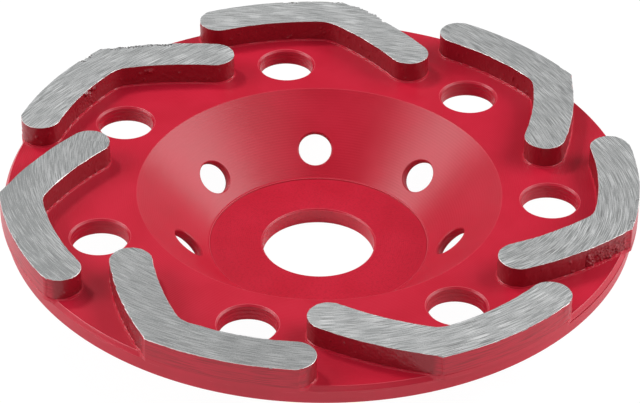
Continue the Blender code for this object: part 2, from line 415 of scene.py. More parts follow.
@dataclass(frozen=True)
class GroundSinter:
    """A segment's bare top: grey sinter ground flat by strokes along arcs about one centre.

    Each pair of stroke sizes is a width and a length, and each pair of levels is where an effect of a
    noise or of the mesh's mark starts, and where it is full. Where the clouds are lively, single
    bright strokes and dark furrows stand out. Specks are the pits that the mesh's mark asks for,
    painted near black as the shade in them.
    """

    name: str
    centre: tuple[float, float, float]
    bend: float
    tone: float = 1.0
    contrast: float = 1.0
    dull: float = 0.0
    grey: Colour = (0.36, 0.37, 0.37)
    bright: Colour = (0.76, 0.77, 0.77)
    white: Colour = (0.92, 0.93, 0.93)
    dark: Colour = (0.20, 0.20, 0.20)
    edge_highlight_white: Colour = (0.76, 0.73, 0.72)
    pit_shadow_dark: Colour = (0.06, 0.05, 0.05)
    fine_stroke: Span = (0.15 * MM, 4.5 * MM)
    broad_stroke: Span = (0.5 * MM, 7.0 * MM)
    score: Span = (0.17 * MM, 5.0 * MM)
    fine_share: float = 7.0
    broad_share: float = 0.6
    grain_share: float = 1.6
    share_levels: Span = (-0.1, 1.1)
    lively_levels: Span = (0.35, 0.6)
    stroke_levels: Span = (0.57, 0.68)
    furrow_levels: Span = (0.41, 0.31)
    pit_levels: Span = (0.68, 0.74)
    speck_levels: Span = (0.50, 0.56)
    mark_levels: Span = (0.2, 0.8)
    stroke_share: float = 0.9
    furrow_share: float = 0.7
    pit_share: float = 0.7
    stroke_relief: float = 0.5
    speck_relief: float = 3.0
    cloud_size: float = 5 * MM
    grain_size: float = 0.22 * MM
    pit_size: float = 0.45 * MM
    dull_start: float = 53 * MM
    dull_end: float = 60 * MM
    level: float = 21.15 * MM
    edge_fade: Span = (0.03 * MM, 0.005 * MM)
    metallic: float = 0.6
    roughness: float = 0.50
    polish: float = 0.15
    relief: float = 0.02 * MM

    def material(self) -> bpy.types.Material:
        """Builds the ground face's material. Its broken edge, which lies lower, is painted white as a
        highlight.

        Returns:
            The material.
        """
        material, sheet = new_sheet(self.name)
        dull = sheet.bore_distance().between(self.dull_start, self.dull_end) * self.dull
        fine = sheet.noise(self._arcs(sheet, self.fine_stroke), 1.0, 1.0, 0.6)
        cloud = sheet.noise(sheet.place(), 1 / self.cloud_size, 2.0)
        share = self._brightness(sheet, fine, cloud) - dull
        lively = cloud.between(*self.lively_levels) * self.contrast
        scores = sheet.noise(self._arcs(sheet, self.score), 1.0, 0.0)
        strokes = scores.between(*self.stroke_levels) * lively
        start, full = self.furrow_levels
        furrows = scores.between(full, start, 1.0, 0.0) * lively
        pits = sheet.noise(sheet.place(), 1 / self.pit_size, 2.0).between(*self.pit_levels)
        specks = sheet.noise(sheet.place(), 1 / self.pit_size, 1.0).between(*self.speck_levels)
        specks = specks * sheet.mark().between(*self.mark_levels)
        high, low = self.edge_fade
        broken = sheet.part("Z").between(self.level - high, self.level - low, 1.0, 0.0)
        greys = self._toned(self.grey), self._toned(self.bright)
        colour = sheet.blend(share.between(*self.share_levels), *greys)
        colour = sheet.blend(strokes * (self.stroke_share - dull), colour, self._toned(self.white))
        colour = sheet.blend(furrows * (self.furrow_share - dull), colour, self.dark)
        colour = sheet.blend(pits * self.pit_share, colour, self.dark)
        # specks: pits painted near black as the shade in them
        colour = sheet.blend(specks, colour, self.pit_shadow_dark)
        scratched = fine + strokes * self.stroke_relief - furrows * self.stroke_relief
        sheet.finish(
            # the broken edge painted white: a painted highlight
            Base_Color=sheet.blend(broken, colour, self.edge_highlight_white),
            Metallic=self.metallic,
            Roughness=self.roughness - share.between(0.0, 1.0) * self.polish,
            Normal=sheet.bump(scratched - pits - specks * self.speck_relief, self.relief),
        )
        return material

    def _brightness(self, sheet: Sheet, fine: Signal, cloud: Signal) -> Signal:
        """How bright the ground face is: a sum of noises about one half.

        Args:
            sheet: The material's sheet.
            fine: The fine strokes.
            cloud: The slow change over the face.

        Returns:
            The sum, mostly between 0 and 1.
        """
        broad = sheet.noise(self._arcs(sheet, self.broad_stroke), 1.0, 2.0)
        grain = sheet.noise(sheet.place(), 1 / self.grain_size, 1.0)
        strokes = (fine - 0.5) * (self.fine_share * self.contrast)
        return strokes + (broad + cloud - 1.0) * self.broad_share + (grain - 0.5) * self.grain_share + 0.5

    def _toned(self, colour: Colour) -> Colour:
        """A colour made lighter or darker by the tone, up to white."""
        return tuple(min(self.tone * part, 1.0) for part in colour)

    def _arcs(self, sheet: Sheet, stroke: Span) -> bpy.types.NodeSocket:
        """Coordinates across and along the grinding strokes of one width and length."""
        return sheet.strokes(self.centre, self.bend, *stroke)


def arc_points(
    radius: float, start: float, end: float, steps: int, centre: Sequence[float] = (0, 0)
) -> Array:
    """Points along an arc.

    Each is the centre plus the radius times the cosine and sine of its angle.

    Args:
        radius: The arc's radius.
        start: The angle of its first point.
        end: The angle of its last point.
        steps: The number of equal steps between them.
        centre: The arc's centre.

    Returns:
        The points, one a row.
    """
    angles = np.linspace(start, end, steps + 1)
    return np.asarray(centre) + radius * np.stack([np.cos(angles), np.sin(angles)], axis=-1)


def rounded(corners: Sequence[Corner], steps: int = 4, land: float = 0.0) -> Array:
    """An open outline with rounded corners.

    An arc touches both sides at radius / tan(half the corner's angle) from the corner, and its centre
    lies on the corner's bisector at radius / sin(half the angle).

    Args:
        corners: The x, y and radius of each corner. The first and last ones stay sharp.
        steps: The steps along each arc.
        land: Where it is above 0, the length of an extra straight step on both sides of each arc.

    Returns:
        The outline's points, one a row.
    """
    table = np.asarray(corners, float)
    points, radii = table[:, :2], table[1:-1, 2, None]
    before = points[:-2] - points[1:-1]
    after = points[2:] - points[1:-1]
    before /= np.linalg.norm(before, axis=1, keepdims=True)
    after /= np.linalg.norm(after, axis=1, keepdims=True)
    half = np.arccos(np.clip((before * after).sum(axis=1, keepdims=True), -1, 1)) / 2
    middle = (before + after) / np.linalg.norm(before + after, axis=1, keepdims=True)
    centres = points[1:-1] + middle * radii / np.sin(half)
    start = points[1:-1] + before * radii / np.tan(half) - centres
    cross = before[:, :1] * after[:, 1:] - before[:, 1:] * after[:, :1]
    sweep = -np.sign(cross) * (math.pi - 2 * half) * np.linspace(0, 1, steps + 1)
    x = centres[:, :1] + start[:, :1] * np.cos(sweep) - start[:, 1:] * np.sin(sweep)
    y = centres[:, 1:] + start[:, :1] * np.sin(sweep) + start[:, 1:] * np.cos(sweep)
    arcs = np.stack([x, y], axis=-1)
    if land > 0:
        lead_in = arcs[:, :1] + land * before[:, None]
        lead_out = arcs[:, -1:] + land * after[:, None]
        arcs = np.concatenate([lead_in, arcs, lead_out], axis=1)
    return np.concatenate([points[:1], arcs.reshape(-1, 2), points[-1:]])


def bends(profile: Array, sharpest: float) -> Array:
    """How sharply a profile turns at each of its points.

    The turn between the two steps that meet in a point, over their mean length, is one over the
    profile's radius there.

    Args:
        profile: The profile's points, one a row.
        sharpest: The radius whose turn counts as 1.

    Returns:
        From -1 for a sharp turn to the left to 1 for one to the right. The ends count as 0.
    """
    steps = np.diff(profile, axis=0)
    lengths = np.linalg.norm(steps, axis=1)
    cross = steps[:-1, 0] * steps[1:, 1] - steps[:-1, 1] * steps[1:, 0]
    turn = np.arcsin(np.clip(cross / (lengths[:-1] * lengths[1:]), -1, 1))
    return np.pad(np.clip(-2 * sharpest * turn / (lengths[:-1] + lengths[1:]), -1, 1), 1)


def along_line(points: Array) -> Array:
    """The distance of each point of a line from its start."""
    lengths = np.linalg.norm(np.diff(points, axis=0), axis=1)
    return np.concatenate([[0.0], np.cumsum(lengths)])


def read_line(points: Array, wanted: Array) -> Array:
    """The points of a line at some distances from its start."""
    along = along_line(points)
    return np.stack([np.interp(wanted, along, points[:, axis]) for axis in range(2)], axis=-1)


def walked(points: Array, count: int) -> Array:
    """Points at equal distances along a line of points.

    Args:
        points: The line's points, one a row.
        count: The number of equal steps.

    Returns:
        The points, from the line's first to its last.
    """
    return read_line(points, np.linspace(0, along_line(points)[-1], count + 1))


def with_short_steps(points: Array, longest: float) -> Array:
    """The same line with a point added every so often, but not close to one of its own.

    Args:
        points: The line's points, one a row.
        longest: The distance from one added point to the next.

    Returns:
        The line's old and new points in order, each once.
    """
    along = along_line(points)
    extra = np.arange(longest, along[-1], longest)
    apart = np.abs(extra[:, None] - along[None, :]).min(axis=1)
    wanted = np.sort(np.concatenate([along, extra[apart > longest * OWN_POINT_SHARE]]))
    return read_line(points, wanted[np.concatenate([[True], np.diff(wanted) > SAME_POINT])])


@dataclass(frozen=True)
class Noise:
    """Smooth noise: a sum of cosine waves in many directions, with lengths about one length.

    Its spread is about its strength. The number picks its random draw, and the pace is the least and
    the most that a wave's length is divided by.
    """

    length: float
    strength: float
    number: int
    count: int = 20
    pace: Span = (0.6, 1.5)

    def at(self, points: Array, index: int = 0) -> Array:
        """Reads the noise.

        Args:
            points: Where it is read, with the coordinates last.
            index: What is added to its number, for a draw of its own.

        Returns:
            The noise at each point.
        """
        random = np.random.default_rng(self.number + index)
        directions = random.normal(size=(self.count, points.shape[-1]))
        directions /= np.linalg.norm(directions, axis=1, keepdims=True)
        speeds = FULL_TURN / self.length * random.uniform(*self.pace, size=(self.count, 1))
        phases = random.uniform(0, FULL_TURN, size=self.count)
        total = np.cos(points @ (directions * speeds).T + phases).sum(axis=-1)
        return self.strength * (total * math.sqrt(2 / self.count))


def ramp(values: Array, start: float, width: float) -> Array:
    """0 up to a start, 1 from a width further on, and a straight line between them."""
    return np.clip((values - start) / width, 0, 1)


def plateau(values: Array, low: float, high: float, width: float) -> Array:
    """1 between two ends and 0 outside them, with a ramp of one width inside each end."""
    return ramp(values, low, width) * ramp(high - values, 0.0, width)


def radii(points: Array) -> Array:
    """The distance of each point from Z."""
    return np.hypot(points[..., 0], points[..., 1])


def lifted(plane: Array, height: Array | float) -> Array:
    """Points of the plane, each at a height.

    Args:
        plane: The points, with the coordinates last.
        height: Their heights, or one for all.

    Returns:
        The points in space.
    """
    return np.concatenate([plane, np.broadcast_to(height, plane.shape[:-1])[..., None]], axis=-1)


def revolved(profile: Array, bearings: Array) -> Array:
    """The grid that a profile sweeps about Z: (radius cos b, radius sin b, height) for each bearing b.

    Args:
        profile: Rows of radius and height.
        bearings: The bearings of the columns.

    Returns:
        The grid, with one row for each point of the profile.
    """
    radius, height = profile[:, :1], profile[:, 1:]
    return np.stack([radius * np.cos(bearings), radius * np.sin(bearings), height + 0 * bearings], axis=-1)


def drawn_in(points: Array, share: Array) -> Array:
    """Points with each one's distance from Z multiplied by its share.

    Args:
        points: The points in space, with the coordinates last.
        share: The factor for each.

    Returns:
        The moved points.
    """
    return points * np.stack([share, share, np.ones_like(share)], axis=-1)


def spun(points: Array, angle: float) -> Array:
    """Points turned about Z.

    Args:
        points: The points, with the coordinates last.
        angle: The angle, anticlockwise.

    Returns:
        The turned points.
    """
    cosine, sine = math.cos(angle), math.sin(angle)
    x, y = points[..., 0], points[..., 1]
    turned = np.array(points, float)
    turned[..., 0] = x * cosine - y * sine
    turned[..., 1] = x * sine + y * cosine
    return turned


class Skin:
    """Grids of points that are sewn into one closed mesh."""

    def __init__(self) -> None:
        """Starts with no grid."""
        self.points: list[Array] = []
        self.quads: list[Array] = []
        self.slots: list[Array] = []
        self.marks: list[Array] = []
        self.count = 0

    def add(self, grid: Array, slot: int = 0, ring: bool = False, marks: Array | None = None) -> None:
        """Adds a grid, whose neighbouring rows and columns bound one quad each.

        Args:
            grid: The points, by row and column.
            slot: The material slot of its faces.
            ring: Whether the last column meets the first.
            marks: A number for each point, kept as the attribute mark.
        """
        rows, columns = grid.shape[:2]
        index = self.count + np.arange(rows * columns).reshape(rows, columns)
        if ring:
            index = np.concatenate([index, index[:, :1]], axis=1)
        quads = np.stack([index[:-1, :-1], index[:-1, 1:], index[1:, 1:], index[1:, :-1]], axis=-1)
        self.points.append(grid.reshape(-1, 3))
        self.quads.append(quads.reshape(-1, 4))
        self.slots.append(np.full(len(self.quads[-1]), slot, np.int32))
        self.marks.append(np.zeros(rows * columns) if marks is None else marks.reshape(-1))
        self.count += rows * columns

    def turn(self, angle: float) -> None:
        """Turns all the grids about Z."""
        self.points = [spun(grid, angle) for grid in self.points]

    def sewn(self, name: str, materials: Sequence[bpy.types.Material], crease: float) -> bpy.types.Object:
        """Makes the object, in which points that lie closer than the weld become one.

        Args:
            name: The object's name.
            materials: Its material slots.
            crease: The angle between faces from which an edge is a crease, in degrees.

        Returns:
            The object, linked to the scene.
        """
        mesh = bpy.data.meshes.new(name)
        mesh.from_pydata(np.concatenate(self.points), [], np.concatenate(self.quads).tolist())
        mesh.polygons.foreach_set("material_index", np.concatenate(self.slots))
        mark = mesh.attributes.new("mark", "FLOAT", "POINT")
        mark.data.foreach_set("value", np.concatenate(self.marks).astype(np.float32))
        sewing = bmesh.new()
        sewing.from_mesh(mesh)
        bmesh.ops.remove_doubles(sewing, verts=sewing.verts, dist=WELD)
        bmesh.ops.recalc_face_normals(sewing, faces=sewing.faces)
        open_edges = sum(not edge.is_manifold for edge in sewing.edges)
        sewing.to_mesh(mesh)
        sewing.free()
        for material in materials:
            mesh.materials.append(material)
        mesh.shade_smooth()
        mesh.set_sharp_from_angle(angle=math.radians(crease))
        made = bpy.data.objects.new(name, mesh)
        bpy.context.scene.collection.objects.link(made)
        log.info("%s: %d faces, %d open edges", name, len(mesh.polygons), open_edges)
        return made


@dataclass(frozen=True)
class Meridian:
    """A turned surface whose section is a straight line through one point at one slope."""

    radius: float
    height: float
    slope: float = 0.0

    def height_at(self, radius: Array) -> Array:
        """The height of the surface at a radius: it rises by the slope's tangent."""
        return self.height + (radius - self.radius) * math.tan(self.slope)

    def above(self, points: Array) -> Array:
        """How far points lie above the surface, square to its section's line, or under it below 0."""
        run, rise = radii(points) - self.radius, points[..., 2] - self.height
        return rise * math.cos(self.slope) - run * math.sin(self.slope)

    def offset(self, depth: float) -> "Meridian":
        """The surface that lies this far under this one."""
        sine, cosine = math.sin(self.slope), math.cos(self.slope)
        return Meridian(self.radius + depth * sine, self.height - depth * cosine, self.slope)


@dataclass(frozen=True)
class Drill:
    """A ring of holes, one a sector, drilled square to the surface they start in.

    The bend round the hole is lightened, by a thinner coat and a painted highlight, where the face's edge
    light is 1, and darkened by painted shade where it is -1. Points find a surface in a few slides along the
    hole's axis.
    """

    diameter: float
    circle: float
    phase: float
    face_chamfer: float
    back_chamfer: float
    edge_radius: float = 0.08 * MM
    edge_step: float = 0.05 * MM
    land: float = 0.25 * MM
    face_edge_light: float = 1.0
    ridges: Noise = Noise(0.9 * MM, 0.05 * MM, 7)
    row_height: float = 0.2 * MM
    slides: int = 8

    def axes(self, face: Meridian) -> tuple[Array, Array, Array, Array]:
        """Where the hole on +X stands.

        Args:
            face: The surface that the hole starts in.

        Returns:
            The hole's centre on the face, the uphill and sideways directions there, and its axis.
        """
        radius = self.circle / 2
        centre = np.array([radius, 0.0, face.height_at(radius)])
        uphill = np.array([math.cos(face.slope), 0.0, math.sin(face.slope)])
        axis = np.array([-math.sin(face.slope), 0.0, math.cos(face.slope)])
        return centre, uphill, np.array([0.0, 1.0, 0.0]), axis

    def spokes(self, face: Meridian, sides: Array) -> Array:
        """Directions square to the hole's axis: uphill times the cosine plus sideways times the sine."""
        _, uphill, sideways, _ = self.axes(face)
        return np.cos(sides)[:, None] * uphill + np.sin(sides)[:, None] * sideways

    def edge(self, chamfer: float) -> Array:
        """The section of the hole's edge.

        Args:
            chamfer: The width and depth of the edge's chamfer.

        Returns:
            Rows of radius and depth, from the land to the wall.
        """
        radius = self.diameter / 2
        corners = [
            (radius + chamfer + self.land, 0.0, 0.0),
            (radius + chamfer, 0.0, self.edge_radius),
            (radius, -chamfer, self.edge_radius),
            (radius, -chamfer - self.land, 0.0),
        ]
        return rounded(corners, steps=2, land=self.edge_step)

    def edge_light_and_shade(self, chamfer: float, sharpest: float) -> Array:
        """The marks on the hole's edge: its outer bend by the face's edge light, and painted shade on the
        bend at the wall.

        Args:
            chamfer: The width and depth of the edge's chamfer.
            sharpest: The radius whose bend counts fully.

        Returns:
            The mark of each row of the section.
        """
        section = self.edge(chamfer)
        outer = section[:, 0] > (self.diameter + chamfer) / 2
        # outer bend: lighter where the face's edge light is 1, painted shade where it is -1; bend at the
        # wall: painted shade
        return np.where(outer, -self.face_edge_light, 1.0) * bends(section, sharpest)

    def wall(self, face: Meridian, sides: Array, top: Array, foot: Array) -> Array:
        """The rings between the hole's two edges, with the fine ridges that the drill left.

        They go evenly from one edge to the other, and in or out by a smooth noise of the depth.

        Args:
            face: The surface that the hole starts in.
            sides: The angles of the columns about the hole's axis.
            top: The last ring of the upper edge.
            foot: The last ring of the lower edge.

        Returns:
            The grid, with a row for each ring.
        """
        depth = float(np.linalg.norm(top - foot, axis=1).mean())
        share = np.linspace(0, 1, round(depth / self.row_height) + 1)[1:-1, None]
        ridges = self.ridges.at(share * depth)[:, None, None]
        return top + (foot - top) * share[:, None] + ridges * self.spokes(face, sides)

    def ring(self, face: Meridian, onto: Meridian, sides: Array, section: Array, upwards: float) -> Array:
        """Rings of points on the hole's wall.

        Each point starts on a circle about the hole's axis. It slides along that axis by its distance
        from the surface, a few times over, and then by its own depth.

        Args:
            face: The surface that the hole starts in, which sets its axis.
            onto: The surface that depths are counted from.
            sides: The angles of the columns about the hole's axis.
            section: Rows of radius and depth.
            upwards: -1 where depths run up the axis from the surface, and 1 where they run down it.

        Returns:
            The grid, with a row for each row of the section.
        """
        centre, _, _, axis = self.axes(face)
        points = centre + section[:, 0, None, None] * self.spokes(face, sides)
        for _ in range(self.slides):
            points = points - onto.above(points)[..., None] * axis
        return points + upwards * section[:, 1, None, None] * axis


@dataclass
class CupBody:
    """The steel cup: hub disc, cone and flange, turned in one piece, drilled and powder coated."""

    bore_diameter: float = 22.23 * MM
    bore_chamfer: float = 0.3 * MM
    hub_face_diameter: float = 43.3 * MM
    hub_thickness: float = 3.5 * MM
    hub_step: float = 0.25 * MM
    hub_step_margins: Span = (0.02 * MM, 0.04 * MM)
    hub_ledge: float = 0.30 * MM
    hub_ledge_radius: float = 0.4 * MM
    dish_depth: float = 13.0 * MM
    mouth_diameter: float = 71.7 * MM
    mouth_edge_radius: float = 0.2 * MM
    cone_wall: float = 1.8 * MM
    flange_thickness: float = 3.6 * MM
    back_fillet: float = 1.2 * MM
    rim_diameter: float = 123.5 * MM
    rim_chamfer_width: float = 0.6 * MM
    rim_chamfer_height: float = 0.9 * MM
    rim_back_break: float = 0.15 * MM
    groove_level: float = 15.40 * MM
    groove_width: float = 0.20 * MM
    groove_depth: float = 0.6 * MM
    groove_span: Span = (math.radians(-44), math.radians(-5))
    groove_fade: float = math.radians(5)
    coat_edge_radius: float = 0.1 * MM
    edge_step: float = 0.04 * MM
    sector_steps: int = 36
    side_steps: int = 14
    patch_rows: int = 7
    patch_spread: float = 1.5
    longest_step: float = 1.5 * MM
    cone_margins: Span = (0.7 * MM, 1.0 * MM)
    cone_back_margins: Span = (1.1 * MM, 1.3 * MM)
    flange_margin: float = 1.6 * MM
    flange_hole: Drill = Drill(11.1 * MM, 90.5 * MM, 0.0, 0.4 * MM, 0.4 * MM)
    vent: Drill = Drill(6.85 * MM, 52.75 * MM, math.radians(-7.0), 0.2 * MM, 0.3 * MM, face_edge_light=-1.0)
    finish: PowderCoat = PowderCoat(Coat.TURNED_BODY)
    hole_finish: PowderCoat = PowderCoat(Coat.DRILLED_WALL)

    @property
    def step(self) -> float:
        """The angle between two columns of the turned surfaces."""
        return FULL_TURN / (SEGMENT_COUNT * self.sector_steps)

    @property
    def flange_face(self) -> Meridian:
        """The flange's upper face."""
        return Meridian(self.mouth_diameter / 2, self.hub_thickness + self.dish_depth)

    @property
    def flange_back(self) -> Meridian:
        """The flange's lower face."""
        return self.flange_face.offset(self.flange_thickness)

    @property
    def cone_face(self) -> Meridian:
        """The cone's inner face."""
        run = (self.mouth_diameter - self.hub_face_diameter) / 2
        return Meridian(self.hub_face_diameter / 2, self.hub_thickness, math.atan2(self.dish_depth, run))

    @property
    def cone_back(self) -> Meridian:
        """The cone's outer face."""
        return self.cone_face.offset(self.cone_wall)

    @property
    def cone_span(self) -> Span:
        """The inner and outer radius of the cone's drilled stretch, on its face."""
        low, high = self.cone_margins
        return self.hub_face_diameter / 2 + low, self.mouth_diameter / 2 - high

    @property
    def cone_back_span(self) -> Span:
        """The inner and outer radius of the cone's drilled stretch, on its back."""
        low, high = self.cone_back_margins
        return self.back_radius(0.0) + low, self.back_radius(self.flange_back.height) - high

    @property
    def flange_span(self) -> Span:
        """The inner and outer radius of the flange's drilled stretch."""
        return self.mouth_diameter / 2 + self.flange_margin, self.rim_diameter / 2 - self.flange_margin

    def back_radius(self, level: float) -> float:
        """The radius at which the cone's back crosses a level."""
        back = self.cone_back
        return back.radius + (level - back.height) / math.tan(back.slope)

    def holed_patch(self, surface: Meridian, hole: Array, span: Span) -> Array:
        """One sector of a turned surface round a hole.

        Radius and bearing go evenly from the hole's edge to the sector's border, with short steps near
        the hole, and the height follows the surface.

        Args:
            surface: The surface that the patch lies on.
            hole: The points of the hole's edge, in the columns' order.
            span: The sector's inner and outer radius.

        Returns:
            The grid, with one row for each step from the hole to the border.
        """
        border = self.sector_border(span)
        edge = np.stack([radii(hole), np.arctan2(hole[:, 1], hole[:, 0])], axis=-1)
        share = np.linspace(0, 1, self.patch_rows + 1)[:, None, None] ** self.patch_spread
        mixed = edge + (border - edge) * share
        radius, bearing = mixed[..., 0], mixed[..., 1]
        plane = radius[..., None] * np.stack([np.cos(bearing), np.sin(bearing)], axis=-1)
        return lifted(plane, surface.height_at(radius))

    def sector_border(self, span: Span) -> Array:
        """The border of a sector.

        Args:
            span: The sector's inner and outer radius.

        Returns:
            Rows of radius and bearing, anticlockwise from the inner corner at the lower bearing.
        """
        inner, outer = span
        half = self.step * self.sector_steps / 2
        across = np.linspace(-half, half, self.sector_steps + 1)[:-1]
        outwards = np.linspace(inner, outer, self.side_steps + 1)[:-1]
        return np.concatenate([
            np.stack([outwards, np.full(self.side_steps, -half)], axis=-1),
            np.stack([np.full(self.sector_steps, outer), across], axis=-1),
            np.stack([inner + outer - outwards, np.full(self.side_steps, half)], axis=-1),
            np.stack([np.full(self.sector_steps, inner), -across], axis=-1),
        ])

    def hole_sides(self, drill: Drill, face: Meridian, span: Span) -> Array:
        """The angles of a hole's columns, which meet the sector's border in nearly straight lines.

        Args:
            drill: The holes.
            face: The surface that they start in.
            span: The sector's inner and outer radius.

        Returns:
            The angles about the hole's axis.
        """
        border = self.sector_border(span)
        uphill = (border[:, 0] - drill.circle / 2) / math.cos(face.slope)
        return np.arctan2(border[:, 0] * border[:, 1], uphill)

    def add_holed_wall(
        self, skin: Skin, drill: Drill, face: Meridian, back: Meridian, face_span: Span, back_span: Span
    ) -> None:
        """Adds a drilled stretch of wall: its face, its back and its holes.

        Args:
            skin: What the grids are added to.
            drill: The holes.
            face: The stretch's upper surface.
            back: Its lower surface.
            face_span: The inner and outer radius of the stretch's face.
            back_span: The inner and outer radius of its back.
        """
        sides = self.hole_sides(drill, face, face_span)
        upper = drill.ring(face, face, sides, drill.edge(drill.face_chamfer), 1.0)
        lower = drill.ring(face, back, sides, drill.edge(drill.back_chamfer), -1.0)
        wall_rings = drill.wall(face, sides, upper[-1], lower[-1])
        through = np.concatenate([upper, wall_rings, lower[::-1]])
        face_light_and_shade = drill.edge_light_and_shade(drill.face_chamfer, self.coat_edge_radius)
        back_light_and_shade = drill.edge_light_and_shade(drill.back_chamfer, self.coat_edge_radius)
        light_and_shade = np.concatenate([face_light_and_shade, np.zeros(len(wall_rings)), back_light_and_shade[::-1]])
        marks = np.broadcast_to(light_and_shade[:, None], through.shape[:2])
        phase = round(drill.phase / self.step) * self.step
        for index in range(SEGMENT_COUNT):
            turn = phase + FULL_TURN * index / SEGMENT_COUNT
            skin.add(spun(self.holed_patch(face, upper[0], face_span), turn), ring=True)
            skin.add(spun(self.holed_patch(back, lower[0], back_span), turn), ring=True)
            skin.add(spun(through, turn), slot=1, ring=True, marks=marks)

    def grooved(self, grid: Array) -> tuple[Array, Array]:
        """The grid with a fine groove cut under the rim's chamfer on one side of the wheel.

        Points of the rim move inwards by the groove's depth. It fades with the square of their distance
        from its level, and towards both ends of its span.

        Args:
            grid: The points of a turned surface.

        Returns:
            The moved points, and the share of the groove's depth at each.
        """
        radius = radii(grid)
        within = plateau(np.arctan2(grid[..., 1], grid[..., 0]), *self.groove_span, self.groove_fade)
        near = np.clip(1 - ((grid[..., 2] - self.groove_level) / self.groove_width) ** 2, 0, 1)
        cut = within * near * (radius > self.rim_diameter / 2 - MM)
        return drawn_in(grid, 1 - cut * self.groove_depth / radius), cut

    def hub_section(self) -> list[Corner]:
        """The hub disc's section.

        Returns:
            Its corners, from the cone's back round the bore to the ledge at the cone's foot.
        """
        bore, root, soft = self.bore_diameter / 2, self.hub_face_diameter / 2, self.coat_edge_radius
        start, end, ledge = self.cone_back_span[0], self.cone_span[0], root + self.hub_ledge
        top, chamfer = self.hub_thickness, self.bore_chamfer
        inside, outside = self.hub_step_margins
        return [
            (start, self.cone_back.height_at(start), 0.0),
            (self.back_radius(0.0), 0.0, self.back_fillet),
            (bore + chamfer, 0.0, soft),
            (bore, chamfer, soft),
            (bore, top - chamfer, soft),
            (bore + chamfer, top, soft),
            (root - inside, top, soft / 2),
            (root + outside, top + self.hub_step, soft),
            (ledge, self.cone_face.height_at(ledge), self.hub_ledge_radius),
            (end, self.cone_face.height_at(end), 0.0),
        ]

    def mouth_section(self) -> list[Corner]:
        """The section of the edge between the cone's face and the flange's.

        Returns:
            Its corners, outwards.
        """
        start, level = self.cone_span[1], self.flange_face.height
        return [
            (start, self.cone_face.height_at(start), 0.0),
            (self.mouth_diameter / 2, level, self.mouth_edge_radius),
            (self.flange_span[0], level, 0.0),
        ]

    def rim_section(self) -> list[Corner]:
        """The rim's section.

        The corner at the groove lies a hair inwards, so that it is one, and the groove gets its rows.

        Returns:
            Its corners, from the flange's face round the rim to its back.
        """
        rim, soft, outer = self.rim_diameter / 2, self.coat_edge_radius, self.flange_span[1]
        face, back, hair = self.flange_face.height, self.flange_back.height, MM / 10000
        return [
            (outer, face, 0.0),
            (rim - self.rim_chamfer_width, face, soft),
            (rim, face - self.rim_chamfer_height, soft / 2),
            (rim - hair, self.groove_level, soft / 4),
            (rim, self.groove_level - self.groove_width, soft / 4),
            (rim, back + self.rim_back_break, soft),
            (rim - self.rim_back_break, back, soft),
            (outer, back, 0.0),
        ]

    def back_section(self) -> list[Corner]:
        """The section of the fillet between the flange's back and the cone's.

        Returns:
            Its corners, inwards.
        """
        level, end = self.flange_back.height, self.cone_back_span[1]
        return [
            (self.flange_span[0], level, 0.0),
            (self.back_radius(level), level, self.back_fillet),
            (end, self.cone_back.height_at(end), 0.0),
        ]

    def build(self) -> bpy.types.Object:
        """Builds the cup and lets it stand for its solid.

        Returns:
            The cup.
        """
        skin = Skin()
        self.add_holed_wall(
            skin, self.vent, self.cone_face, self.cone_back, self.cone_span, self.cone_back_span
        )
        self.add_holed_wall(
            skin, self.flange_hole, self.flange_face, self.flange_back, self.flange_span, self.flange_span
        )
        bearings = self.step * np.arange(SEGMENT_COUNT * self.sector_steps)
        sections = (self.hub_section(), self.mouth_section(), self.rim_section(), self.back_section())
        for corners in sections:
            profile = with_short_steps(rounded(corners, land=self.edge_step), self.longest_step)
            grid, cut = self.grooved(revolved(profile, bearings))
            # convex edges lighter by a thinner coat and a painted highlight; concave corners and the rim's
            # groove darker by painted shade
            light_and_shade = bends(profile, self.coat_edge_radius)[:, None]
            skin.add(grid, ring=True, marks=np.clip(light_and_shade - 2 * cut, -1, 1))
        finishes = [self.finish.material(), self.hole_finish.material()]
        cup = skin.sewn("coated_cup", finishes, crease=50)
        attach(cup, "root")
        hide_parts("cup_body")
        return cup


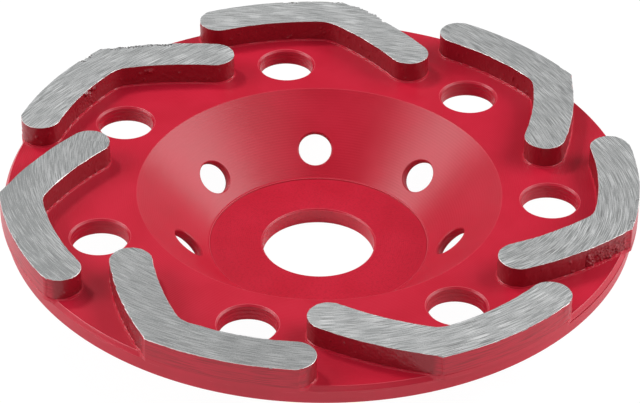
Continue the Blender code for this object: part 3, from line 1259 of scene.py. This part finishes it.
@dataclass(frozen=True)
class SegmentPlan:
    """A segment's outline beside the flange hole on +X.

    Each leg is a band between two arcs with one centre, and ends in a half circle. The rim leg's
    centre is the wheel's axis. The hub leg's lies square to its heading at the knee.
    """

    wheel_diameter: float = 125.0 * MM
    rim_leg_width: float = 8.2 * MM
    rim_leg_end: float = math.radians(12.6)
    knee_bearing: float = math.radians(-13.4)
    knee_radius: float = 0.6 * MM
    crook_radius: float = 4.9 * MM
    hub_leg_width: float = 8.4 * MM
    hub_leg_length: float = 24.4 * MM
    hub_leg_heading: float = math.radians(-134.2)
    hub_leg_bow_radius: float = 69.0 * MM
    ribs: int = 420
    arc_steps: int = 160

    def sides(self) -> tuple[Array, Array]:
        """The outer and inner sides of the outline, with the knee and the crook rounded.

        Returns:
            Two lines of points from the rim leg's tip to the hub leg's tip, in equal steps.
        """
        outer = self.wheel_diameter / 2
        inner = outer - self.rim_leg_width
        knee = arc_points(outer, self.knee_bearing, self.knee_bearing, 0)[0]
        bow_outer, bow_inner = self.hub_leg_bow_radius, self.hub_leg_bow_radius - self.hub_leg_width
        bow_start = self.hub_leg_heading + math.pi / 2
        bow_end = bow_start - self.hub_leg_length / bow_outer
        towards_knee = np.array([math.cos(bow_start), math.sin(bow_start)])
        bow_centre = knee - bow_outer * towards_knee
        crook = self.crossing(inner, bow_centre, bow_inner)
        crook_bearing = math.atan2(crook[1], crook[0])
        crook_on_bow = math.atan2(crook[1] - bow_centre[1], crook[0] - bow_centre[0])
        rim_tip = arc_points((outer + inner) / 2, self.rim_leg_end, self.rim_leg_end, 0)[0]
        hub_tip = arc_points((bow_outer + bow_inner) / 2, bow_end, bow_end, 0, bow_centre)[0]
        quarter, steps = math.pi / 2, self.arc_steps
        end, rim_half, hub_half = self.rim_leg_end, self.rim_leg_width / 2, self.hub_leg_width / 2
        outer_side = [
            arc_points(rim_half, end + quarter, end, steps // 4, rim_tip),
            arc_points(outer, end, self.knee_bearing, steps),
            arc_points(bow_outer, bow_start, bow_end, steps, bow_centre),
            arc_points(hub_half, bow_end, bow_end - quarter, steps // 4, hub_tip),
        ]
        inner_side = [
            arc_points(rim_half, end + quarter, end + 2 * quarter, steps // 4, rim_tip),
            arc_points(inner, end, crook_bearing, steps),
            arc_points(bow_inner, crook_on_bow, bow_end, steps, bow_centre),
            arc_points(hub_half, bow_end + 2 * quarter, bow_end + 3 * quarter, steps // 4, hub_tip),
        ]
        return (
            walked(self.blunted(np.concatenate(outer_side), knee, self.knee_radius), self.ribs),
            walked(self.blunted(np.concatenate(inner_side), crook, self.crook_radius), self.ribs),
        )

    @staticmethod
    def crossing(radius: float, centre: Array, other_radius: float) -> Array:
        """The right-hand crossing of a circle about the origin with one about a centre.

        It lies (d² + r² - s²) / 2d along the line of centres, d being their distance and r and s the
        radii, so its bearing is that line's less the arc cosine of that length over r.

        Args:
            radius: The radius of the circle about the origin.
            centre: The other circle's centre.
            other_radius: The other circle's radius.

        Returns:
            The crossing.
        """
        distance = float(np.hypot(*centre))
        along = (distance**2 + radius**2 - other_radius**2) / (2 * distance)
        bearing = math.atan2(centre[1], centre[0]) - math.acos(along / radius)
        return radius * np.array([math.cos(bearing), math.sin(bearing)])

    @staticmethod
    def blunted(line: Array, corner: Array, radius: float) -> Array:
        """A line with one of its corners rounded.

        Args:
            line: The line's points.
            corner: The corner, which is one of them.
            radius: The radius that rounds it.

        Returns:
            The line with an arc in the place of the corner.
        """
        distance = np.linalg.norm(line - corner, axis=1)
        at = int(distance.argmin())
        before = line[:at][distance[:at] > radius / 2]
        after = line[at:][distance[at:] > radius / 2]
        corners = [(*before[-1], 0.0), (*corner, radius), (*after[0], 0.0)]
        return np.concatenate([before[:-1], rounded(corners, steps=8), after[1:]])


@dataclass(frozen=True)
class Chip:
    """A nick in a segment's upper edge, a crack where it reaches the foot, or a burr where it is negative.

    Its place is the share of the way round the outline, from the rim leg's tip along the outer side
    to the hub leg's tip at about one half, and back along the inner side. Width is half its length
    along the edge. Start is how far under the edge it is deepest, and down is how far it fades from
    there.
    """

    place: float
    width: float
    inwards: float
    down: float
    start: float = 0.0


def chips_from(*rows: Sequence[float]) -> tuple[Chip, ...]:
    """Chips from rows of numbers.

    Args:
        rows: For each chip its place, and its width, inwards, down and start in millimetres.

    Returns:
        The chips.
    """
    return tuple(Chip(place, *(size * MM for size in sizes)) for place, *sizes in rows)


@dataclass(frozen=True)
class Character:
    """What tells one segment from the others: how it was set down, ground, pressed and knocked.

    A stretch of the outline is the shares of the way round it at its ends, as for a chip, and how
    strongly it is lumpy or pitted.
    """

    turn: float = 0.0
    stroke_bearing: float = 0.0
    stroke_bend: float = 0.06
    tone: float = 1.0
    contrast: float = 1.0
    dull: float = 0.0
    edge_break: float = 0.08 * MM
    chips: tuple[Chip, ...] = ()
    lumpy_spans: tuple[Stretch, ...] = ()
    pitted_spans: tuple[Stretch, ...] = ()


@dataclass
class DiamondSegment:
    """A sintered bar brazed on the flange, coated on its sides and ground bare on top.

    The flank, which was turned, stands a little proud of the pressed sides. The sides are uneven, and
    less so on the flank. Pits at the outer edge reach into the top's first two columns, by a share
    each.
    """

    index: int
    character: Character
    plan: SegmentPlan = SegmentPlan()
    seat: float = 16.8 * MM
    face: float = 21.15 * MM
    widest: float = 62.488 * MM
    flank_proud: float = 0.15 * MM
    flank_edge: float = 62.25 * MM
    flank_ramp: float = 0.10 * MM
    flank_border: Noise = Noise(2.0 * MM, 0.02 * MM, 10)
    wall_rows: int = 26
    face_columns: int = 14
    foot_columns: int = 2
    bare_depth: float = 0.25 * MM
    bare_dent: float = 0.06 * MM
    pit_columns: Span = (1.0, 0.6)
    unevenness: float = 0.022 * MM
    uneven_noises: tuple[Noise, ...] = (Noise(2.4 * MM, 0.7, 0), Noise(0.9 * MM, 0.4, 50))
    break_noises: tuple[Noise, ...] = (Noise(1.2 * MM, 0.15, 60), Noise(6.0 * MM, 0.3, 70))
    break_limits: Span = (0.3, 2.2)
    break_slant: float = 0.8
    dent_slant: float = 0.15
    chip_noise: Noise = Noise(0.5 * MM, 0.35, 0)
    chip_rise: float = 0.5 * MM
    chip_fade: float = 0.7
    lumps: float = 0.14 * MM
    rare_lumps: Noise = Noise(1.5 * MM, 1.0, 20)
    rare_level: float = 1.6
    coarse_lumps: Noise = Noise(2.3 * MM, 1.0, 30)
    coarse_share: float = 0.5
    middle_lumps: Noise = Noise(0.8 * MM, 1.0, 40)
    middle_share: float = 0.4
    middle_gain: float = 0.3
    fine_lumps: Noise = Noise(0.45 * MM, 0.3, 45)
    lump_sink: float = 0.4
    calm_depth: float = 1.6 * MM
    calm_least: float = 0.15
    span_ramp: float = 0.004
    pivot: Span = (55 * MM, -5 * MM)
    middle: Span = (52 * MM, -7 * MM)

    @property
    def name(self) -> str:
        """The node that the segment stands for."""
        return f"diamond_segment_{self.index + 1}"

    @property
    def bearing(self) -> float:
        """The angle about the bore from the first segment's place to this one's."""
        return FULL_TURN * self.index / SEGMENT_COUNT

    def outline(self) -> tuple[Array, Array]:
        """The outline of the segment in the first segment's place.

        The ring runs along the outer side to the hub leg's tip and back along the inner side. The
        outward direction is the tangent turned left, since the ring runs clockwise.

        Returns:
            The outline as a ring of points, and its outward direction at each.
        """
        outer, inner = self.plan.sides()
        ring = np.concatenate([outer, inner[-2:0:-1]])
        pivot = np.array(self.pivot)
        ring = spun(ring - pivot, self.character.turn) + pivot
        tangent = np.roll(ring, -1, axis=0) - np.roll(ring, 1, axis=0)
        tangent /= np.linalg.norm(tangent, axis=1, keepdims=True)
        return ring, np.stack([-tangent[:, 1], tangent[:, 0]], axis=-1)

    @staticmethod
    def shares(ring: Array) -> tuple[Array, float]:
        """The distance of each column along the outline, and the outline's whole length."""
        steps = np.linalg.norm(np.roll(ring, -1, axis=0) - ring, axis=1)
        return np.concatenate([[0.0], np.cumsum(steps)[:-1]]), steps.sum()

    def chipping(self, ring: Array, heights: Array) -> Array:
        """How far the wall is knocked in.

        A chip is half an ellipse along the edge, with a ragged outline. Away from its start it fades
        with a power of the height that is left of it, and above its start in a straight line too.

        Args:
            ring: The outline's points.
            heights: The heights of the wall's points, by row and column.

        Returns:
            The dent, by row and column.
        """
        along, whole = self.shares(ring)
        line = np.stack([along, 0 * along], axis=-1)
        dent = np.zeros(heights.shape)
        for chip in self.character.chips:
            apart = np.abs((along - chip.place * whole + whole / 2) % whole - whole / 2)
            ragged = 1 + self.chip_noise.at(line, round(1000 * chip.place))
            share = np.clip(1 - (apart / chip.width) ** 2, 0, 1) ** 0.5 * ragged
            depth = self.face - heights - chip.start
            fade = np.clip(1 - np.abs(depth) / chip.down, 0, 1) ** self.chip_fade
            dent += share * chip.inwards * fade * ramp(depth, -self.chip_rise, self.chip_rise)
        return dent

    def lumpiness(self, ring: Array, points: Array) -> Array:
        """Lumps of the pressed sinter: rare small ones, and rough stretches.

        The small ones are what passes a level of a noise. In a rough stretch the middle noise grows
        where the coarse one is high. Near the top the lumps are calmer.

        Args:
            ring: The outline's points.
            points: The wall's points, by row and column.

        Returns:
            How far the lumps stand out, by row and column.
        """
        rare = ramp(self.rare_lumps.at(points, self.index), self.rare_level, 1.0)
        coarse = self.coarse_lumps.at(points, self.index)
        middle = self.middle_lumps.at(points, self.index) * (self.middle_share + self.middle_gain * coarse)
        rough = self.coarse_share * coarse + middle + self.fine_lumps.at(points, self.index) - self.lump_sink
        calmer = np.clip((self.face - points[..., 2]) / self.calm_depth, self.calm_least, 1)
        return self.lumps * calmer * (rare + self.spanned(ring, self.character.lumpy_spans) * rough)

    def spanned(self, ring: Array, stretches: Sequence[Stretch]) -> Array:
        """A number for each column of the outline, which is 0 but for some stretches of it.

        Args:
            ring: The outline's points.
            stretches: The shares of the outline at each stretch's ends, and the number within it.

        Returns:
            The numbers, with short ramps at the stretches' ends.
        """
        along, whole = self.shares(ring)
        result = np.zeros(len(ring))
        for low, high, strength in stretches:
            result += strength * plateau(along / whole, low, high, self.span_ramp)
        return result

    def edge_break(self, ring: Array) -> Array:
        """How far the upper edge is broken at each column of the outline, which is uneven."""
        uneven = 1 + sum(noise.at(ring, self.index) for noise in self.break_noises)
        return self.character.edge_break * np.clip(uneven, *self.break_limits)

    def wall(self, ring: Array, outwards: Array, heights: Array, dent: Array) -> Array:
        """The sides.

        Args:
            ring: The outline's points.
            outwards: The outline's outward directions.
            heights: The heights of the points, by row and column.
            dent: How far the wall is knocked in there.

        Returns:
            The points, by row and column.
        """
        points = lifted(np.broadcast_to(ring, (*heights.shape, 2)), heights)
        reach = radii(ring) + self.flank_border.at(points, self.index)
        flank = ramp(reach, self.flank_edge, self.flank_ramp)
        uneven = self.unevenness * sum(noise.at(points, self.index) for noise in self.uneven_noises)
        pressed = uneven + self.lumpiness(ring, points) - self.flank_proud
        shift = pressed * (1 - flank) - dent
        points[..., :2] += shift[..., None] * outwards
        return self.kept_inside(points)

    def build(self, coat: bpy.types.Material) -> bpy.types.Object:
        """Builds the segment and lets it stand for its solid.

        Args:
            coat: The coat of its sides.

        Returns:
            The segment.
        """
        ring, outwards = self.outline()
        edge_break = self.edge_break(ring)
        rows = np.linspace(0, 1, self.wall_rows)[:, None]
        heights = self.seat + (self.face - edge_break - self.seat) * rows
        dent = self.chipping(ring, heights)
        wall = self.wall(ring, outwards, heights, dent)
        inwards = edge_break * self.break_slant + self.dent_slant * dent[-1]
        top_edge = lifted(wall[-1, :, :2] - inwards[:, None] * outwards, self.face)
        bare = ramp(np.abs(dent), 0.0, self.bare_dent) * (heights > self.face - self.bare_depth)
        pitted = self.spanned(ring, self.character.pitted_spans)
        top = self.ribbed(top_edge, self.face_columns)
        pits = np.zeros(top.shape[:2])
        pits[:, :2] = pitted[:len(top), None] * self.pit_columns
        skin = Skin()
        skin.add(wall, ring=True, marks=bare)
        skin.add(np.stack([wall[-1], top_edge]), slot=1, ring=True, marks=np.stack([bare[-1], pitted]))
        skin.add(top, slot=1, marks=pits)
        skin.add(self.ribbed(wall[0], self.foot_columns))
        skin.turn(self.bearing)
        materials = [coat, self.ground().material()]
        bar = skin.sewn(f"sintered_bar_{self.index + 1}", materials, crease=35)
        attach(bar, "root")
        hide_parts(self.name)
        return bar

    def kept_inside(self, wall: Array) -> Array:
        """The wall with the points outside the widest circle brought back onto it."""
        return drawn_in(wall, np.minimum(self.widest / radii(wall), 1.0))

    def ground(self) -> GroundSinter:
        """The finish of the top: strokes with this segment's own bearing and bend.

        Their centre lies to the left of the strokes, by their bend, from the segment's middle.

        Returns:
            The finish.
        """
        look = self.character
        bearing, bend = look.stroke_bearing, look.stroke_bend
        middle = spun(np.array(self.middle), self.bearing)
        centre = middle + bend * np.array([-math.sin(bearing), math.cos(bearing)])
        name = f"ground_sinter_{self.index + 1}"
        return GroundSinter(name, (*centre, 0.0), abs(bend), look.tone, look.contrast, look.dull)

    @staticmethod
    def ribbed(ring: Array, columns: int) -> Array:
        """A face across the bar: straight ribs from the outer side to the same place on the inner side.

        Args:
            ring: The outline's points, from tip to tip and back.
            columns: The steps along each rib.

        Returns:
            The grid, with one row for each rib.
        """
        half = len(ring) // 2
        outer = ring[:half + 1]
        inner = np.concatenate([ring[:1], ring[:half - 1:-1]])
        share = np.linspace(0, 1, columns + 1)[None, :, None]
        return outer[:, None] + (inner - outer)[:, None] * share


@dataclass
class BrazeSeam:
    """The braze that fills the joint under a segment, under the red coat.

    On the flange it spreads as a thin lip and creeps up the segment's foot. Below the flank it was
    turned with it, and draws in to the rim.
    """

    segment: DiamondSegment
    flange_level: float = 16.5 * MM
    rim_radius: float = 61.75 * MM
    chamfer_width: float = 0.6 * MM
    chamfer_height: float = 0.9 * MM
    spread: float = 0.28 * MM
    spread_noise: Noise = Noise(4.0 * MM, 0.1, 80)
    lip: float = 0.01 * MM
    lip_share: float = 0.12
    creep_up: float = 0.25 * MM
    creep_noise: Noise = Noise(2.2 * MM, 0.2, 90)
    creep_start: float = 0.6
    beads: Noise = Noise(0.9 * MM, 0.5, 85)
    most_beads: float = 2.0
    flank_foot: float = 15.95 * MM
    flank_drop: float = 0.1 * MM
    turned_start: float = 0.2 * MM
    turned_ramp: float = 0.9 * MM
    sunk: float = 0.05 * MM
    tucked_in: float = 0.6 * MM
    tucked_up: float = 0.2 * MM
    rows: int = 16

    @property
    def flat_edge(self) -> float:
        """The radius at which the flange's flat face ends and its chamfer starts."""
        return self.rim_radius - self.chamfer_width

    def on_flange(self, ring: Array, outwards: Array, share: Array) -> Array:
        """The seam as it lies on the flange.

        With s from 0 at the seam's edge to 1 at the wall, it goes outwards by its spread times 1 - s.
        It rises with the square root of s to the lip, and with the square of the last part of s up
        the wall. Where it passes over the chamfer it drops with it.

        Args:
            ring: The outline of the segment.
            outwards: Its outward directions.
            share: The s of each row.

        Returns:
            The points, by row and column.
        """
        index = self.segment.index
        beaded = self.segment.spanned(ring, self.segment.character.lumpy_spans) * self.beads.at(ring, index)
        spread = 1 + self.spread_noise.at(ring, index) + np.clip(beaded, -0.5, self.most_beads)
        creep = 1 + self.creep_noise.at(ring, index) + np.clip(beaded, 0, self.most_beads)
        plane = ring + (self.spread * spread * (1 - share))[..., None] * outwards
        radius = radii(plane)
        plane = plane * np.minimum(self.rim_radius / radius, 1.0)[..., None]
        lip = (self.sunk + self.lip) * np.sqrt(ramp(share, 0.0, self.lip_share))
        climb = ramp(share, self.creep_start, 1 - self.creep_start) ** 2
        over = np.clip(radius - self.flat_edge, 0, self.chamfer_width)
        drop = over * (self.chamfer_height / self.chamfer_width)
        return lifted(plane, self.flange_level - self.sunk + lip + self.creep_up * creep * climb - drop)

    def on_flank(self, ring: Array, share: Array) -> Array:
        """The seam as it lies below the flank.

        It steps out from the rim in the first third of s, and then rises to the segment's seat.

        Args:
            ring: The outline of the segment.
            share: The s of each row.

        Returns:
            The points, by row and column.
        """
        radius, third = radii(ring), 1 / 3
        out, up = ramp(share, 0.0, third), ramp(share, third, 1 - third)
        plane = ring * ((self.rim_radius + (radius - self.rim_radius) * out) / radius)[..., None]
        start = self.flange_level - self.chamfer_height - self.flank_drop
        height = start + (self.flank_foot - start) * out + (self.segment.seat - self.flank_foot) * up
        return lifted(plane, height)

    def build(self, coat: bpy.types.Material) -> bpy.types.Object:
        """Builds the seam as a closed ring round the segment's foot.

        Args:
            coat: The coat over it.

        Returns:
            The seam.
        """
        ring, outwards = self.segment.outline()
        share = np.linspace(0, 1, self.rows)[:, None]
        turned = ramp(radii(ring), self.flat_edge + self.turned_start, self.turned_ramp)[:, None]
        flange = self.on_flange(ring, outwards, share)
        outside = flange + (self.on_flank(ring, share) - flange) * turned
        inside = ring - self.tucked_in * outwards
        top = lifted(inside, self.segment.seat + self.tucked_up)[None]
        foot = lifted(inside, self.flange_level - self.sunk)[None]
        skin = Skin()
        skin.add(np.concatenate([foot, outside, top, foot]), ring=True)
        skin.turn(self.segment.bearing)
        seam = skin.sewn(f"braze_seam_{self.segment.index + 1}", [coat], crease=50)
        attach(seam, "root")
        return seam


@dataclass(frozen=True)
class SoftBox:
    """A rectangular lamp that faces the wheel."""

    name: str
    bearing: float
    elevation: float
    width: float
    height: float
    power: float
    distance: float = 1.0

    def build(self) -> None:
        """Builds the lamp at its bearing and elevation, with its upper edge level."""
        data = bpy.data.lights.new(self.name, "AREA")
        data.shape = "RECTANGLE"
        data.size, data.size_y, data.energy = self.width, self.height, self.power
        level = math.cos(self.elevation)
        towards = Vector((
            level * math.cos(self.bearing), level * math.sin(self.bearing), math.sin(self.elevation)
        ))
        lamp = bpy.data.objects.new(self.name, data)
        lamp.location = towards * self.distance
        lamp.rotation_euler = (-towards).to_track_quat("-Z", "Y").to_euler()
        bpy.context.scene.collection.objects.link(lamp)


@dataclass(frozen=True)
class Studio:
    """A white sweep between two soft boxes, with a key lamp and a front fill, under a dim ceiling.

    The sweep turns up into a low wall behind the wheel. Mirrors see more of its glow behind the wheel
    than in front of it and none close round it: a painted shadow where the wheel's own shadow falls.
    """

    floor_half: float = 2.0
    floor_gap: float = 0.05 * MM
    white: Colour = (0.90, 0.90, 0.90)
    surround: float = 0.10
    glow: float = 1.03
    glow_in_camera: float = 0.95
    shade_radius: float = 0.055
    light_radius: float = 0.075
    front_edge: float = -0.08
    back_edge: float = 0.0
    glow_in_front: float = 0.05
    glow_behind: float = 0.8
    wall_radius: float = 1.7
    wall_height: float = 0.40
    wall_glow: float = 0.9
    wall_span: Span = (math.radians(-20), math.radians(200))
    wall_steps: int = 48
    boxes: tuple[SoftBox, ...] = (
        SoftBox("right_box", math.radians(16), math.radians(35), 0.95, 0.66, 8.7),
        SoftBox("high_right_box", math.radians(-35), math.radians(53), 0.50, 0.50, 0.9),
        SoftBox("left_box", math.radians(182), math.radians(35), 0.70, 0.52, 5.5),
        SoftBox("key_dish", math.radians(141), math.radians(53), 0.17, 0.17, 3.4),
        SoftBox("front_fill", math.radians(-95), math.radians(20), 1.00, 0.40, 1.6),
    )

    def build(self) -> None:
        """Builds the floor, the wall, the surround and the lamps."""
        self._floor()
        self._wall()
        self._surround()
        for box in self.boxes:
            box.build()

    def _floor(self) -> None:
        """The floor, which the camera sees as white where nothing shades it, and mirrors see glowing but for
        a painted shadow in front of and round the wheel.
        """
        material, sheet = new_sheet("white_sweep")
        diffuse = sheet.node("ShaderNodeBsdfDiffuse", {}, {"Color": self.white})
        glow = sheet.node("ShaderNodeEmission", {}, {"Color": WHITE, "Strength": self.glow})
        paths = sheet.node("ShaderNodeLightPath")
        camera = Signal(sheet, paths.outputs["Is Camera Ray"]) * self.glow_in_camera
        glows = self.glow_in_front, self.glow_behind
        # painted shadow: mirrors see less glow in front of the wheel and none close round it
        behind = sheet.part("Y").between(self.front_edge, self.back_edge, *glows)
        beside = sheet.bore_distance().between(self.shade_radius, self.light_radius)
        mirrors = Signal(sheet, paths.outputs["Is Glossy Ray"]) * behind * beside
        through = Signal(sheet, paths.outputs["Is Transmission Ray"]) * self.glow_in_camera
        seen = camera.most(mirrors).most(through)
        mixed = sheet.node("ShaderNodeMixShader", {}, {0: seen, 1: diffuse.outputs[0], 2: glow.outputs[0]})
        sheet.node("ShaderNodeOutputMaterial", {}, {"Surface": mixed.outputs[0]})
        half, low = self.floor_half, -self.floor_gap
        corners = [(-half, -half, low), (half, -half, low), (half, half, low), (-half, half, low)]
        self._stand("floor", corners, [(0, 1, 2, 3)], material)

    def _wall(self) -> None:
        """The low wall behind the wheel: a band of one radius about Z."""
        material, sheet = new_sheet("white_wall")
        glow = sheet.node("ShaderNodeEmission", {}, {"Color": WHITE, "Strength": self.wall_glow})
        sheet.node("ShaderNodeOutputMaterial", {}, {"Surface": glow.outputs[0]})
        low = arc_points(self.wall_radius, *self.wall_span, self.wall_steps)
        count = len(low)
        points = np.concatenate([lifted(low, 0.0), lifted(low, self.wall_height)])
        first = np.arange(count - 1)
        quads = np.stack([first, first + count, first + count + 1, first + 1], axis=-1)
        self._stand("wall", points.tolist(), quads.tolist(), material)

    @staticmethod
    def _stand(
        name: str,
        points: Sequence[Sequence[float]],
        faces: Sequence[Sequence[int]],
        material: bpy.types.Material,
    ) -> None:
        """Makes one piece of the stage.

        Args:
            name: Its name.
            points: Its points.
            faces: Its faces, as point numbers.
            material: Its material.
        """
        mesh = bpy.data.meshes.new(name)
        mesh.from_pydata(points, [], faces)
        mesh.materials.append(material)
        piece = bpy.data.objects.new(name, mesh)
        bpy.context.scene.collection.objects.link(piece)

    def _surround(self) -> None:
        """An even dim surround, which the camera sees as white."""
        world = bpy.data.worlds.new("studio")
        world.use_nodes = True
        bpy.context.scene.world = world
        sheet = Sheet(world.node_tree)
        paths = sheet.node("ShaderNodeLightPath")
        around = sheet.node("ShaderNodeBackground", {}, {"Color": WHITE, "Strength": self.surround})
        behind = sheet.node("ShaderNodeBackground", {}, {"Color": WHITE, "Strength": 1.0})
        seen = Signal(sheet, paths.outputs["Is Camera Ray"])
        mixed = sheet.node("ShaderNodeMixShader", {}, {0: seen, 1: around.outputs[0], 2: behind.outputs[0]})
        sheet.node("ShaderNodeOutputWorld", {}, {"Surface": mixed.outputs[0]})


@dataclass(frozen=True)
class PhotoCamera:
    """The photograph's camera, found by fitting the wheel's circles."""

    place: tuple[float, float, float] = (28.70 * MM, -456.76 * MM, 340.53 * MM)
    target: tuple[float, float, float] = (-0.686 * MM, 13.792 * MM, 3.5 * MM)
    roll: float = math.radians(0.881)
    lens: float = 160.53
    sensor: float = 36.0

    def build(self) -> None:
        """Builds the camera: it looks at the target, and then rolls about its own axis."""
        data = bpy.data.cameras.new("photo_camera")
        data.lens, data.sensor_width = self.lens, self.sensor
        data.clip_start, data.clip_end = 0.01, 20.0
        camera = bpy.data.objects.new("photo_camera", data)
        ahead = Vector(self.target) - Vector(self.place)
        facing = ahead.to_track_quat("-Z", "Y").to_matrix().to_4x4()
        camera.matrix_world = Matrix.Translation(self.place) @ facing @ Matrix.Rotation(self.roll, 4, "Z")
        bpy.context.scene.collection.objects.link(camera)
        bpy.context.scene.camera = camera


@dataclass
class CupWheel:
    """The whole wheel: the cup, its segments and their braze."""

    cup: CupBody = field(default_factory=CupBody)
    characters: tuple[Character, ...] = (
        Character(
            turn=math.radians(0.52),
            stroke_bearing=math.radians(90),
            stroke_bend=28 * MM,
            dull=0.1,
            edge_break=0.09 * MM,
            chips=chips_from(
                (0.275, 0.9, 0.15, 0.5),
                (0.285, 0.5, 0.25, 0.6),
                (0.3855, 0.12, 0.4, 6.0, 1.8),
            ),
            lumpy_spans=((0.296, 0.387, 1.0),),
            pitted_spans=((0.205, 0.22, 0.8), (0.265, 0.288, 1.1)),
        ),
        Character(
            turn=math.radians(-0.05),
            stroke_bearing=math.radians(126),
            stroke_bend=95 * MM,
            tone=0.96,
            contrast=0.75,
            edge_break=0.06 * MM,
            chips=chips_from(
                (0.2646, 0.9, 0.2, 0.4),
                (0.326, 0.7, 0.25, 0.6),
            ),
        ),
        Character(
            turn=math.radians(-0.27),
            stroke_bearing=math.radians(177),
            stroke_bend=250 * MM,
            tone=1.07,
            contrast=0.8,
            edge_break=0.04 * MM,
            chips=chips_from(
                (0.1871, 0.6, 0.3, 0.4),
                (0.2053, 0.4, 0.2, 0.3),
                (0.2715, 0.9, 0.25, 0.4),
                (0.2874, 0.6, 0.2, 0.4),
                (0.343, 4.4, -0.5, 2.5),
                (0.382, 0.5, 0.3, 0.5),
            ),
            pitted_spans=((0.18, 0.21, 0.8), (0.265, 0.295, 0.7)),
        ),
        Character(
            turn=math.radians(0.19),
            stroke_bearing=math.radians(52),
            stroke_bend=-130 * MM,
            edge_break=0.05 * MM,
            chips=chips_from(
                (0.2509, 1.6, 0.35, 0.6),
                (0.2623, 0.7, 0.3, 0.5),
                (0.3125, 0.9, 0.3, 0.4),
                (0.3376, 1.6, 0.25, 0.4),
                (0.36, 0.8, 0.2, 0.4),
                (0.3969, 2.0, 0.2, 0.3),
                (0.7108, 1.2, -0.35, 0.7, 1.3),
                (0.8263, 0.9, -0.45, 0.7, 0.7),
                (0.8503, 0.7, -0.45, 0.6, 0.6),
                (0.8384, 0.5, 0.3, 0.6, 0.8),
            ),
            lumpy_spans=((0.82, 0.90, 0.5),),
            pitted_spans=((0.235, 0.25, 1.2), (0.255, 0.27, 1.2), (0.30, 0.42, 1.3)),
        ),
        Character(
            turn=math.radians(-0.17),
            stroke_bearing=math.radians(114),
            stroke_bend=-54 * MM,
            tone=0.87,
            contrast=0.7,
            dull=0.5,
            chips=chips_from(
                (0.2121, 1.5, 0.12, 0.3),
                (0.17, 0.6, 0.2, 0.3),
                (0.1506, 1.6, 0.15, 0.4),
                (0.1186, 1.0, 0.12, 0.5),
                (0.0867, 1.5, 0.12, 0.4),
                (0.0479, 1.0, 0.15, 0.4),
            ),
            pitted_spans=((0.14, 0.165, 0.6),),
        ),
        Character(
            turn=math.radians(0.11),
            stroke_bearing=math.radians(-19),
            stroke_bend=78 * MM,
            tone=0.80,
            contrast=0.6,
            edge_break=0.11 * MM,
            chips=chips_from(
                (0.4608, 1.0, 0.2, 0.8),
                (0.43, 0.5, 0.15, 0.5),
                (0.3787, 0.6, 0.2, 0.6),
                (0.345, 0.8, 0.15, 0.5),
                (0.22, 0.7, 0.15, 0.3),
                (0.15, 0.5, 0.12, 0.3),
                (0.09, 0.8, 0.15, 0.3),
            ),
            lumpy_spans=((0.298, 0.40, 0.5),),
        ),
        Character(
            turn=math.radians(0.57),
            stroke_bearing=math.radians(30),
            stroke_bend=57 * MM,
            tone=1.10,
            edge_break=0.05 * MM,
            chips=chips_from(
                (0.2965, 0.6, 0.2, 0.3),
                (0.2, 0.6, 0.12, 0.3),
                (0.1483, 0.9, 0.15, 0.3),
                (0.1, 0.6, 0.2, 0.3),
                (0.0433, 0.7, 0.1, 0.7),
            ),
        ),
    )

    def build(self) -> None:
        """Builds every piece."""
        self.cup.build()
        wall_coat = PowderCoat(Coat.SEGMENT_WALL).material()
        braze_coat = PowderCoat(Coat.BRAZE).material()
        for index, character in enumerate(self.characters):
            segment = DiamondSegment(index, character)
            segment.build(wall_coat)
            BrazeSeam(segment).build(braze_coat)


def main() -> None:
    """Builds the scene."""
    logging.basicConfig(level=logging.INFO, format="%(name)s: %(message)s")
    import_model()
    CupWheel().build()
    Studio().build()
    PhotoCamera().build()
    bpy.context.scene.view_settings.view_transform = "Standard"


if __name__ == "__main__":
    main()
